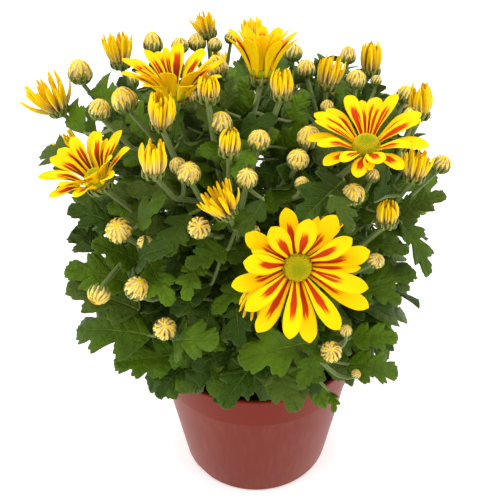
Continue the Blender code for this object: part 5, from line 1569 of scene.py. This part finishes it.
def crumb_tree():
    """Scatters crumbs over the upward faces of a mesh."""
    kinds = {"Density": "Float", "Crumb": "Float", "Seed": "Int", "Material": "Material"}
    nodes, given = geometry_tree("crumbs", **kinds)
    up = nodes.parts(nodes.node("GeometryNodeInputNormal"))[2]
    high = nodes.parts(nodes.node("GeometryNodeInputPosition"))[2]
    high = high.between(SOIL_LEVEL - CRUMBS_FROM, SOIL_LEVEL - CRUMBS_FULL)
    density = given["Density"] * up.between(0.6, 0.7) * high
    sockets = {"Mesh": given["Mesh"], "Density": density, "Seed": given["Seed"]}
    points = nodes.node("GeometryNodeDistributePointsOnFaces", {}, sockets)
    ball = nodes.node("GeometryNodeMeshIcoSphere", {}, {"Radius": 1.0, "Subdivisions": 1})
    drawn = []
    for low, high in (CRUMB_SIZES, CRUMB_TURNS):
        sockets = {0: low, 1: high, "Seed": given["Seed"]}
        drawn.append(nodes.node("FunctionNodeRandomValue", {"data_type": "FLOAT_VECTOR"}, sockets))
    turn = nodes.node("FunctionNodeEulerToRotation", {}, {0: drawn[1]})
    size = nodes.scaled(drawn[0], given["Crumb"])
    sockets = {"Points": points, "Instance": ball, "Rotation": turn, "Scale": size}
    crumbs = nodes.node("GeometryNodeInstanceOnPoints", {}, sockets)
    return tree_ends(nodes, crumbs, given["Material"])


# Pot and peat


def rounded(profile, radius, steps=4):
    """A profile with its corners rounded off."""
    points = [Vector(point) for point in profile]
    made = [points[0]]
    for before, corner, after in zip(points, points[1:], points[2:]):
        first, second = before - corner, after - corner
        reach = min(radius, 0.45 * first.length, 0.45 * second.length)
        start, end = corner + first.normalized() * reach, corner + second.normalized() * reach
        for i in range(steps + 1):
            share = i / steps
            made.append(start.lerp(corner, share).lerp(corner.lerp(end, share), share))
    return made + [points[-1]]


def turned(profile):
    """A closed solid: a profile of (radius, height) pairs, from the axis back to it, turned round +Z."""
    mesh = bpy.data.meshes.new("turned")
    points = [(radius, 0.0, height) for radius, height in profile]
    mesh.from_pydata(points, [(i, i + 1) for i in range(len(points) - 1)], [])
    settings = {"steps": POT_FINE_STEPS, "render_steps": POT_FINE_STEPS}
    settings |= {"use_merge_vertices": True, "merge_threshold": MERGE}
    return tidied(modified(mesh, "SCREW", settings))


def tidied(mesh):
    """Merges a mesh's doubled points, turns its faces outwards and shades it smooth."""
    bm = bmesh.new()
    bm.from_mesh(mesh)
    bmesh.ops.remove_doubles(bm, verts=bm.verts, dist=MERGE)
    bmesh.ops.recalc_face_normals(bm, faces=bm.faces)
    bm.to_mesh(mesh)
    bm.free()
    mesh.shade_smooth()
    return mesh


def drilled(mesh, cutters):
    """The mesh with the cutters' shapes taken out of it."""
    tools = bpy.data.collections.new("cutters")
    for cutter in cutters:
        tools.objects.link(bpy.data.objects.new("cutter", cutter))
    bpy.context.scene.collection.children.link(tools)
    settings = {"operation": "DIFFERENCE", "solver": "EXACT", "operand_type": "COLLECTION"}
    made = modified(mesh, "BOOLEAN", settings | {"collection": tools})
    emptied(tools)
    return made


def emptied(collection):
    """Removes a collection and what is in it."""
    for holder in list(collection.objects):
        bpy.data.objects.remove(holder)
    bpy.data.collections.remove(collection)


def pot_cutters():
    """The drain holes in the pot's floor, and the notches in its foot."""
    cutters = []
    for i in range(DRAIN_COUNT):
        bm = bmesh.new()
        sizes = {"radius1": DRAIN_RADIUS, "radius2": DRAIN_RADIUS, "depth": CUTTER}
        bmesh.ops.create_cone(bm, cap_ends=True, segments=24, **sizes)
        place = polar(DRAIN_RING, 360.0 / DRAIN_COUNT * i + 15.0, 0.001)
        cutters.append(moved(bm, Matrix.Translation(place)))
    for degrees in NOTCH_ANGLES:
        bm = bmesh.new()
        bmesh.ops.create_cube(bm, size=1.0)
        bmesh.ops.scale(bm, verts=bm.verts, vec=(CUTTER, NOTCH_WIDTH, NOTCH_HEIGHT * 2))
        bmesh.ops.bevel(bm, geom=bm.edges, offset=0.0004, segments=2, affect="EDGES")
        place = polar(POT_BASE_RADIUS - NOTCH_DEPTH + CUTTER / 2, degrees, 0.0)
        cutters.append(moved(bm, Matrix.Translation(place) @ Matrix.Rotation(math.radians(degrees), 4, "Z")))
    return cutters


def moved(bm, matrix):
    """A mesh of what is built, moved to its place."""
    bmesh.ops.transform(bm, matrix=matrix, verts=bm.verts)
    mesh = bpy.data.meshes.new("moved")
    bm.to_mesh(mesh)
    bm.free()
    return mesh


def make_pot():
    """The pot with its corners rounded, its drain holes and the notches in its foot."""
    mesh = drilled(turned(rounded(pot_profile(), POT_ROUNDING)), pot_cutters())
    mesh.set_sharp_from_angle(angle=math.radians(40))
    mesh.materials.clear()
    mesh.materials.append(pot_finish())
    add_piece("pot_wall", mesh, ["pot"])


def make_peat():
    """The peat with its lumpy top, and crumbs that lie on it."""
    inside = POT_WALL + GAP
    band = POT_HEIGHT - POT_BAND_HEIGHT
    floor = POT_FLOOR + GAP
    edge = pot_radius(SOIL_LEVEL) - inside
    profile = [(edge * i / PEAT_RINGS, SOIL_LEVEL) for i in range(PEAT_RINGS)]
    profile += [
        (edge, SOIL_LEVEL - 0.003),
        (pot_radius(band) - inside, band - 0.0006),
        (POT_BASE_RADIUS - inside + 0.0002, floor + 0.0018),
        (POT_BASE_RADIUS - inside - 0.0014, floor),
        (0.0, floor),
    ]
    mesh = turned(profile)
    for vertex in mesh.vertices:
        place = vertex.co
        if place.z > SOIL_LEVEL - 0.001:
            wave = math.sin(190.0 * place.x + 1.0) * math.sin(210.0 * place.y)
            place.z += SOIL_LUMP * (wave - 0.4) + 0.0009 * noise.noise(place * 420.0)
    peat = peat_finish()
    mesh.materials.append(peat)
    add_piece("peat_fill", mesh, ["soil"])
    values = {"Density": CRUMB_DENSITY, "Crumb": CRUMB, "Seed": 5, "Material": peat}
    add_piece("peat_crumbs", grown(crumb_tree(), mesh.copy(), **values), ["soil"])


# Stems and leaves


class Runs:
    """Stems and stalks as lines of joints, with the stem's radius at each."""

    def __init__(self):
        self.joints, self.edges, self.radii = [], [], []

    def add(self, joints, radii):
        first = len(self.joints)
        self.joints += joints
        self.radii += radii
        self.edges += [(first + i, first + i + 1) for i in range(len(joints) - 1)]

    def add_stem(self, stem):
        count = len(stem.joints) - 1
        self.add(stem.joints, [stem.radius_at(i / count) for i in range(count + 1)])

    def grown(self, material):
        mesh = bpy.data.meshes.new("stems")
        mesh.from_pydata(self.joints, self.edges, [])
        keep(mesh, "radius", self.radii)
        return grown(stem_tree(), mesh, Sides=STEM_SIDES, Bend=STEM_BEND, Material=material)


def filling_leaves(stems, leaves, heads):
    """Small leaves that fill the crown between the others, clear of the pot, the heads and each other."""
    draw = random.Random(FILL_SEED)
    trees = [tree_of(*pot_envelope())] + [tree_of(*head_envelope(head)) for head in heads]
    trees += [tree_of(*thickened(*leaf_sheet(leaf, False), LEAF_THICKNESS)) for leaf in leaves]
    found = []
    for i in range(FILL_COUNT):
        share = (i + 0.5) / FILL_COUNT
        for trial in range(FILL_TRIALS):
            leaf = filling_leaf(stems, draw, share, 360.0 * (i * GOLDEN_SHARE % 1.0))
            if leaf is None:
                continue
            blade = tree_of(*thickened(*leaf_sheet(leaf, False), LEAF_THICKNESS))
            if not any(blade.overlap(tree) for tree in trees):
                found.append(leaf)
                trees.append(blade)
                break
    return found


def filling_leaf(stems, draw, share, turn):
    """A small leaf that lies like its neighbours, or none where no stem is near or the picture shows none."""
    height = FILL_LOW + (FILL_HIGH - FILL_LOW) * share
    stand = FILL_DEEPEST + (FILL_OUTMOST - FILL_DEEPEST) * draw.random() ** 0.6
    turn += draw.uniform(-FILL_TURN, FILL_TURN)
    rise = math.radians(FILL_RISE_LOW + FILL_RISE_MORE * share + draw.uniform(-FILL_TILT, FILL_TILT))
    way = polar(math.cos(rise), turn + draw.uniform(-FILL_ASIDE, FILL_ASIDE), math.sin(rise))
    tip = polar(crown_radius_at(height) * stand, turn, height + draw.uniform(-FILL_UP, FILL_UP))
    length = draw.uniform(*FILL_LENGTHS) * (1.15 - 0.3 * share)
    base = tip - way * length
    cutting = cutting_of(base)
    foot = nearest_on_stems(base, stems, cutting)
    if foot is None or (foot - base).length > FILL_STALK_LONGEST or base.z < SOIL_LEVEL + LOWEST_FORK:
        return None
    if tip.y < 0.0 and row_of(tip) > FILL_LOWEST_ROW:
        return None
    return leaf_of(cutting, foot, base, tip, SMALL_LEAF, draw)


# Flower heads


def shell(head, profile, sides=20):
    """A closed shape turned round a head's axis."""
    points, faces = turned_shell(head, profile, sides)
    mesh = bpy.data.meshes.new("shell")
    mesh.from_pydata(points, [], faces)
    return tidied(mesh)


def fused(meshes):
    """One mesh of many."""
    bm = bmesh.new()
    for mesh in meshes:
        bm.from_mesh(mesh)
    whole = bpy.data.meshes.new("fused")
    bm.to_mesh(whole)
    bm.free()
    whole.shade_smooth()
    return whole


def cup(head):
    """The green cup under an open or opening head."""
    depth, foot, brim = calyx(head)
    profile = ((0.0, -0.0004), (foot * 0.9, 0.0), (foot * 1.5, depth * 0.22), (brim * 0.86, depth * 0.66))
    profile += ((brim * 0.97, depth * 0.94), (brim * 0.90, depth), (0.0, depth))
    return shell(head, profile)


def cup_scales(head, crop, draw):
    """Two rows of scales that hug the cup."""
    depth, foot, brim = calyx(head)
    stand = axis_frame(head)
    for count, shift, low, high, out in CUP_SCALE_ROWS:
        for i in range(count):
            turn = 360.0 / count * (i + shift) + draw.uniform(-4.0, 4.0)
            start = polar(foot + (brim - foot) * low * 0.8, turn, depth * low)
            end = polar(brim * out, turn, depth * high * draw.uniform(0.92, 1.0))
            middle = polar(brim * (0.50 + 0.44 * out) + 0.0006, turn, depth * (low + high) * 0.42)
            crop.span(stand @ start, stand @ middle, stand @ end, 1.05, 0, draw.random())


def bud_height(head, tilt, swell):
    """How high a bud's surface is over its stalk's end, at a tilt from 0 there to a half turn at its tip."""
    point = head.size * BUD_POINT * head.shape * max(0.0, -math.cos(tilt)) ** 3
    return (head.size / 2 * (1.0 - swell * math.cos(tilt)) + point) * BUD_FLAT


def bud_place(head, tilt, turn, swell):
    """A point over a bud, by its tilt and turn in degrees."""
    tilt = math.radians(tilt)
    out, height = head.size / 2 * swell * math.sin(tilt), bud_height(head, tilt, swell)
    return axis_frame(head) @ polar(out, turn, height)


def bud_core(head):
    """The closed shape under a bud's florets and scales."""
    profile = []
    for i in range(BUD_CORE_STEPS + 1):
        tilt = math.pi * i / BUD_CORE_STEPS
        out = BUD_CORE * (head.size / 2) * math.sin(tilt) if 0 < i < BUD_CORE_STEPS else 0.0
        profile.append((out, bud_height(head, tilt, BUD_CORE)))
    return shell(head, profile, 14)


def bud_florets(head, crop, draw):
    """Florets that close over a bud in a spiral."""
    young = 1.0 if head.size < 0.0090 else 0.85 - 0.4 * head.shape
    for count, low, high, swell, width in BUD_FLORET_ROWS:
        spin = draw.uniform(12.0, 26.0)
        for i in range(count):
            turn = 360.0 / count * (i + draw.uniform(-0.12, 0.12))
            end_tilt = high + draw.uniform(-9.0, 6.0)
            part, lift = draw.uniform(0.2, 1.2), swell * draw.uniform(0.97, 1.04)
            start = bud_place(head, low, turn, swell)
            middle = bud_place(head, (low + end_tilt) / 2, turn + spin * part / 2, lift)
            end = bud_place(head, end_tilt, turn + spin * part, swell)
            tint, broad = young + draw.uniform(-0.25, 0.15), width * draw.uniform(0.7, 1.1)
            crop.span(start, middle, end, broad, draw.randrange(2), draw.random(), tint)


def bud_scales(head, crop, draw):
    """Green scales over the lower half of a bud."""
    for count, low, high, swell, width in BUD_SCALE_ROWS:
        for i in range(count):
            turn = 360.0 / count * (i + draw.uniform(-0.1, 0.1) + low * 0.02)
            tilts = (low, (low + high) / 2, high + draw.uniform(-6.0, 6.0))
            start, middle, end = [bud_place(head, tilt, turn, swell) for tilt in tilts]
            crop.span(start, middle, end, width, 0, draw.random())


def opening_florets(head, crop):
    """Narrow florets that stand up out of the cup, bowed outwards, and lean apart towards their tips."""
    draw = random.Random(head.name + " florets")
    stand = axis_frame(head)
    foot = calyx(head)[0]
    slim = max(0.0, 1.0 - head.shape / SLIM_SPLAY)
    for count, radius, reach, splay, width in OPENING_ROWS:
        for i in range(count):
            turn = 360.0 / count * (i + draw.uniform(-0.2, 0.2))
            lean = head.shape * splay * draw.uniform(0.5, 1.4) + draw.uniform(-5.0, 5.0) - 8.0 * slim
            lean = math.radians(lean)
            length = (head.size - foot + FLORET_SINK) * reach * draw.uniform(0.78, 1.08)
            out = polar(1.0, turn, 0.0)
            start = out * radius * head.stout + UP * (foot - FLORET_SINK)
            way = out * math.sin(lean) + UP * math.cos(lean)
            outwards = out * math.cos(lean) - UP * math.sin(lean)
            bow = outwards * length * draw.uniform(0.05, 0.12 + 0.08 * slim)
            end = start + way * length + UP.cross(out) * length * draw.uniform(-0.12, 0.12)
            places = (stand @ start, stand @ ((start + end) / 2 + bow), stand @ end)
            tint = draw.uniform(-0.3, 0.1)
            crop.span(*places, width, draw.randrange(3), draw.random(), tint)


def ray_petals(head, crop):
    """The ray petals of an open bloom in the model's two layers, and a few narrow ones between them."""
    draw = random.Random(head.name)
    fine = random.Random(head.name + " finish")
    width, longer = head.petals
    longer = axis_frame(head).to_3x3().inverted() @ longer
    reach = head.size - CORE_RADIUS
    for i in range(PETALS):
        turn = -180.0 + (i + 0.5) * 360.0 / PETALS
        upper = i % 2
        rise = math.radians(head.shape + PETAL_LAYER_RISE * upper + draw.uniform(-2.0, 2.0))
        length = reach * (0.93 if upper else 1.0) * draw.uniform(0.94, 1.03)
        length *= 1.0 + polar(1.0, turn, 0.0).dot(longer)
        twist = draw.uniform(-0.08, 0.08)
        broad = width * fine.uniform(0.80, 1.10)
        ray_petal(head, crop, turn, rise, length, twist, 2 * upper - 1, broad, fine)
    for i in range(MORE_PETALS):
        turn = -180.0 + 360.0 / PETALS * (fine.randrange(PETALS) + fine.uniform(-0.15, 0.15))
        rise = math.radians(head.shape + PETAL_LAYER_RISE * fine.uniform(0.3, 1.4))
        length = reach * fine.uniform(0.62, 0.92) * (1.0 + polar(1.0, turn, 0.0).dot(longer))
        layer, twist = fine.uniform(-0.3, 1.4), fine.uniform(-0.1, 0.1)
        ray_petal(head, crop, turn, rise, length, twist, layer, width * fine.uniform(0.45, 0.7), fine)


def ray_petal(head, crop, turn, rise, length, twist, layer, width, draw):
    """One petal: its turn round the head, rise, length and sideways twist, and the layer that it lies in."""
    stand = axis_frame(head)
    out = polar(1.0, turn, 0.0)
    side = UP.cross(out)
    slope = min(rise - PETAL_CURL, PETAL_STEEPEST)
    way = (out * math.cos(slope) + UP * math.sin(slope) + side * twist).normalized()
    shift = way.cross(side) * PETAL_LAYER_STEP * layer
    belly = out * PETAL_BELLY * math.sin(rise)
    centre = out * (CORE_FOOT + CORE_RADIUS) / 2 * math.cos(math.pi / PETALS)
    centre += UP * (CALYX["bloom"][0] + GAP + CORE_HEIGHT / 2)
    start = centre - out * PETAL_SINK[0] - UP * PETAL_SINK[1] + shift * 0.5 + belly * 0.5
    along = centre + way * length + shift + belly - start
    through = along.cross(side).normalized()
    turned_way, turned_up = [stand.to_3x3() @ direction for direction in (along, through)]
    crop.add(
        stand @ start,
        turned_way.normalized(),
        turned_up,
        along.length,
        width * PETAL_FULL_WIDTH / length,
        variant=draw.randrange(3),
        arch=PETAL_CURL / 2,
        wave=draw.uniform(0.004, 0.018),
        tone=draw.random(),
        tint=BLOOM_FLAMES.get(head.name, FAR_FLAMES),
    )


def bloom_eye(head):
    """The core that the petals leave, and the dome of the disc on it, as one closed shape."""
    low = CALYX["bloom"][0] + GAP
    top = low + CORE_HEIGHT + GAP
    radius = disc_radius(head)
    profile = [(0.0, low), (CORE_FOOT * 0.96, low), (CORE_RADIUS * 0.96, low + CORE_HEIGHT * 0.9)]
    profile.append((radius, top))
    for i in range(1, 7):
        tilt = math.pi / 2 * i / 6
        out = radius * 0.97 * math.cos(tilt) if i < 6 else 0.0
        profile.append((out, top + (DISC_HEIGHT - 0.0005) * math.sin(tilt)))
    return shell(head, profile)


def disc_florets(head, material):
    """The florets of a bloom's disc, and the eye that they stand on."""
    top = CALYX["bloom"][0] + CORE_HEIGHT + 2 * GAP
    stand = axis_frame(head)
    values = {"Count": DISC_FLORETS, "Radius": disc_radius(head) - 0.0002, "Height": DISC_HEIGHT - 0.0006}
    values |= {"Floret": DISC_FLORET, "Turn": tuple(stand.to_euler()), "Place": tuple(stand @ (UP * top))}
    return grown(disc_tree(), bloom_eye(head), Seed=7, Material=material, **values)


# The plant


def little_bud(number, column, row, lean, tilt, size, stand):
    """A little bud, by its place in the picture."""
    middle = seen_on_crown(column, row, stand)
    axis = facing(middle, lean, tilt)
    return Head(f"little_bud_{number:02d}", "bud", middle - axis * size * BUD_MIDDLE, axis, size, 0.2)


def stalk_of_little_bud(head, stems):
    """A thin stalk from the nearest stem to a little bud."""
    run_in, turn_in, end = [head.base - head.axis * away for away in LITTLE_STALK_JOINTS]
    foot = nearest_on_stems(run_in, stems, head.cutting)
    joints = [foot, foot.lerp(run_in, 0.6), turn_in, end]
    return Stem(head.cutting, joints, *LITTLE_STALK, head)


class Cutting:
    """What grows on one cutting besides the petals and florets of its blooms and opening heads."""

    def __init__(self, number):
        self.name = f"cutting_{number + 1}"
        self.runs = Runs()
        self.crops = {kind: Crop() for kind, finish, slot in CUTTING_BLADES}
        self.shells = []

    def add_leaf(self, leaf, kind, draw, stalk_radius):
        """A leaf's blade, and the stalk that carries it."""
        way = leaf.tip - leaf.base
        length = way.length
        way.normalize()
        wave, variant = draw.uniform(0.010, 0.028), draw.randrange(3)
        bend = (leaf.arch, leaf.fold, wave)
        self.crops[kind].add(leaf.base, way, leaf.up, length, leaf.width, variant, *bend, draw.random())
        reach = leaf.base - leaf.foot
        middle = leaf.foot + reach * 0.5 - leaf.up * min(0.002, reach.length * 0.1)
        into = leaf.base + way * length * 0.05 + leaf.up * length * leaf.arch * 0.19
        radii = [stalk_radius * 1.25, stalk_radius, stalk_radius * 0.9, stalk_radius * 0.45]
        self.runs.add([leaf.foot, middle, leaf.base, into], radii)

    def add_head(self, head, draw):
        """What a head adds to its cutting: a bud's core, florets and scales, or a cup and its scales."""
        if head.kind == "bud":
            self.shells.append(bud_core(head))
            bud_florets(head, self.crops["bud_florets"], draw)
            bud_scales(head, self.crops["scales"], draw)
        else:
            self.shells.append(cup(head))
            cup_scales(head, self.crops["scales"], draw)

    def add_pieces(self, shapes, finishes):
        """The cutting's pieces, which all stand for its one solid."""
        add_piece(self.name + "_stems", self.runs.grown(finishes["stem"]), [self.name])
        for kind, finish, slot in CUTTING_BLADES:
            if self.crops[kind].blades:
                blades = self.crops[kind].grown(shapes[kind], finishes[finish])
                add_piece(f"{self.name}_{kind}", blades, [self.name])
        cores = fused(self.shells)
        cores.materials.append(finishes["core"])
        add_piece(self.name + "_cups_and_cores", cores, [self.name])


def blade_shapes():
    """The shapes of every kind of blade: a leaf's by rows and columns, and a floret's also by its channel,
    its notches and its half thickness."""
    large, small = (LARGE_LEAF_WIDTHS, LARGE_LEAF_SLANTS), (SMALL_LEAF_WIDTHS, SMALL_LEAF_SLANTS)
    return {
        "large_leaves": leaf_shapes("large_leaf", *large, 56, 7),
        "small_leaves": leaf_shapes("small_leaf", *small, 44, 7),
        "tiny_leaves": leaf_shapes("tiny_leaf", *small, 20, 3),
        "petals": floret_shapes("ray_petal", PETAL_WIDTHS, 17, 9, 0.55, (0.0, 0.006, 0.014), 0.0065),
        "florets": floret_shapes("narrow_floret", FLORET_WIDTHS, 9, 5, -2.0, (0.0, 0.0, 0.04), 0.013),
        "bud_florets": floret_shapes("curled_floret", BUD_FLORET_WIDTHS, 7, 3, -1.6, (0.0, 0.0), 0.016),
        "scales": floret_shapes("green_scale", SCALE_WIDTHS, 5, 3, -1.0, (0.0,), 0.016),
    }


def add_rays(head, shapes, finishes):
    """The separate pieces of an open or an opening head."""
    rays = Crop()
    if head.kind == "bloom":
        ray_petals(head, rays)
        petals = rays.grown(shapes["petals"], finishes["petal"])
        add_piece(head.name + "_petals", petals, [head.name])
        disc = disc_florets(head, finishes["disc"])
        add_piece(head.name + "_disc_florets", disc, [head.name + "_disc", head.name])
    else:
        opening_florets(head, rays)
        florets = rays.grown(shapes["florets"], finishes["floret"])
        add_piece(head.name + "_florets", florets, [head.name])


PLANT_FINISHES = {
    "leaf": leaf_finish,
    "stem": stem_finish,
    "bract": bract_finish,
    "petal": petal_finish,
    "floret": floret_finish,
    "disc": disc_finish,
    "core": core_finish,
}


def make_plant():
    """Plans the plant, then grows each cutting and each head, which take their draws in that order."""
    heads, stems, leaves = plan_plant()
    little = [little_bud(i + 1, *values) for i, values in enumerate(LITTLE_BUDS)]
    filling = filling_leaves(stems, leaves, heads + little)
    shapes = blade_shapes()
    finishes = {kind: finish() for kind, finish in PLANT_FINISHES.items()}
    draw = random.Random(FINISH_SEED)
    cuttings = [Cutting(number) for number in range(CUTTINGS)]
    for stem in stems + [stalk_of_little_bud(head, stems) for head in little]:
        cuttings[stem.cutting].runs.add_stem(stem)
    for leaf in leaves:
        kind = "large_leaves" if leaf.lobes is LARGE_LEAF else "small_leaves"
        cuttings[leaf.cutting].add_leaf(leaf, kind, draw, LEAF_STALK)
    for leaf in filling:
        cuttings[leaf.cutting].add_leaf(leaf, "tiny_leaves", draw, FILL_STALK)
    for head in heads + little:
        cuttings[head.cutting].add_head(head, draw)
        if head.kind != "bud":
            add_rays(head, shapes, finishes)
    for cutting in cuttings:
        cutting.add_pieces(shapes, finishes)
    for collection in shapes.values():
        emptied(collection)


def add_piece(name, mesh, nodes):
    """A finished piece that stands for these nodes of the model."""
    mesh.name = name
    piece = bpy.data.objects.new(name, mesh)
    bpy.context.scene.collection.objects.link(piece)
    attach(piece, "root")
    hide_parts(*nodes)


# Studio


def make_studio():
    """The white floor and world, the soft lights, and the eye that sees the plant as it is pictured."""
    bpy.context.scene.view_settings.view_transform = "Standard"
    bpy.ops.mesh.primitive_plane_add(size=FLOOR_SIZE)
    floor = bpy.context.object
    floor.name = "floor"
    floor.data.materials.append(floor_finish())
    world = bpy.data.worlds.new("studio")
    bpy.context.scene.world = world
    world.use_nodes = True
    sky = world.node_tree.nodes["Background"].inputs
    sky["Color"].default_value = rgba(1.0, 1.0, 1.0)
    sky["Strength"].default_value = WORLD_STRENGTH
    for name, place, width, height, power in SOFTBOXES:
        light = bpy.data.lights.new(name, "AREA")
        light.shape = "RECTANGLE"
        light.size, light.size_y = width, height
        light.energy = power
        holder = bpy.data.objects.new(name, light)
        holder.location = place
        aim = UP * LIGHT_AIM - Vector(place)
        holder.rotation_euler = aim.to_track_quat("-Z", "Y").to_euler()
        bpy.context.scene.collection.objects.link(holder)
    lens = bpy.data.cameras.new("camera")
    lens.sensor_width = SENSOR
    lens.lens = EYE_FOCAL / PICTURE * SENSOR
    lens.shift_x = (PICTURE / 2 - EYE_COLUMN) / PICTURE
    lens.shift_y = (EYE_ROW - PICTURE / 2) / PICTURE
    lens.clip_start = 0.01
    eye = bpy.data.objects.new("camera", lens)
    eye.location = EYE
    eye.rotation_euler = (math.pi / 2 - EYE_PITCH, 0.0, 0.0)
    bpy.context.scene.collection.objects.link(eye)
    bpy.context.scene.camera = eye


make_studio()
make_pot()
make_peat()
make_plant()
bpy.context.view_layer.update()
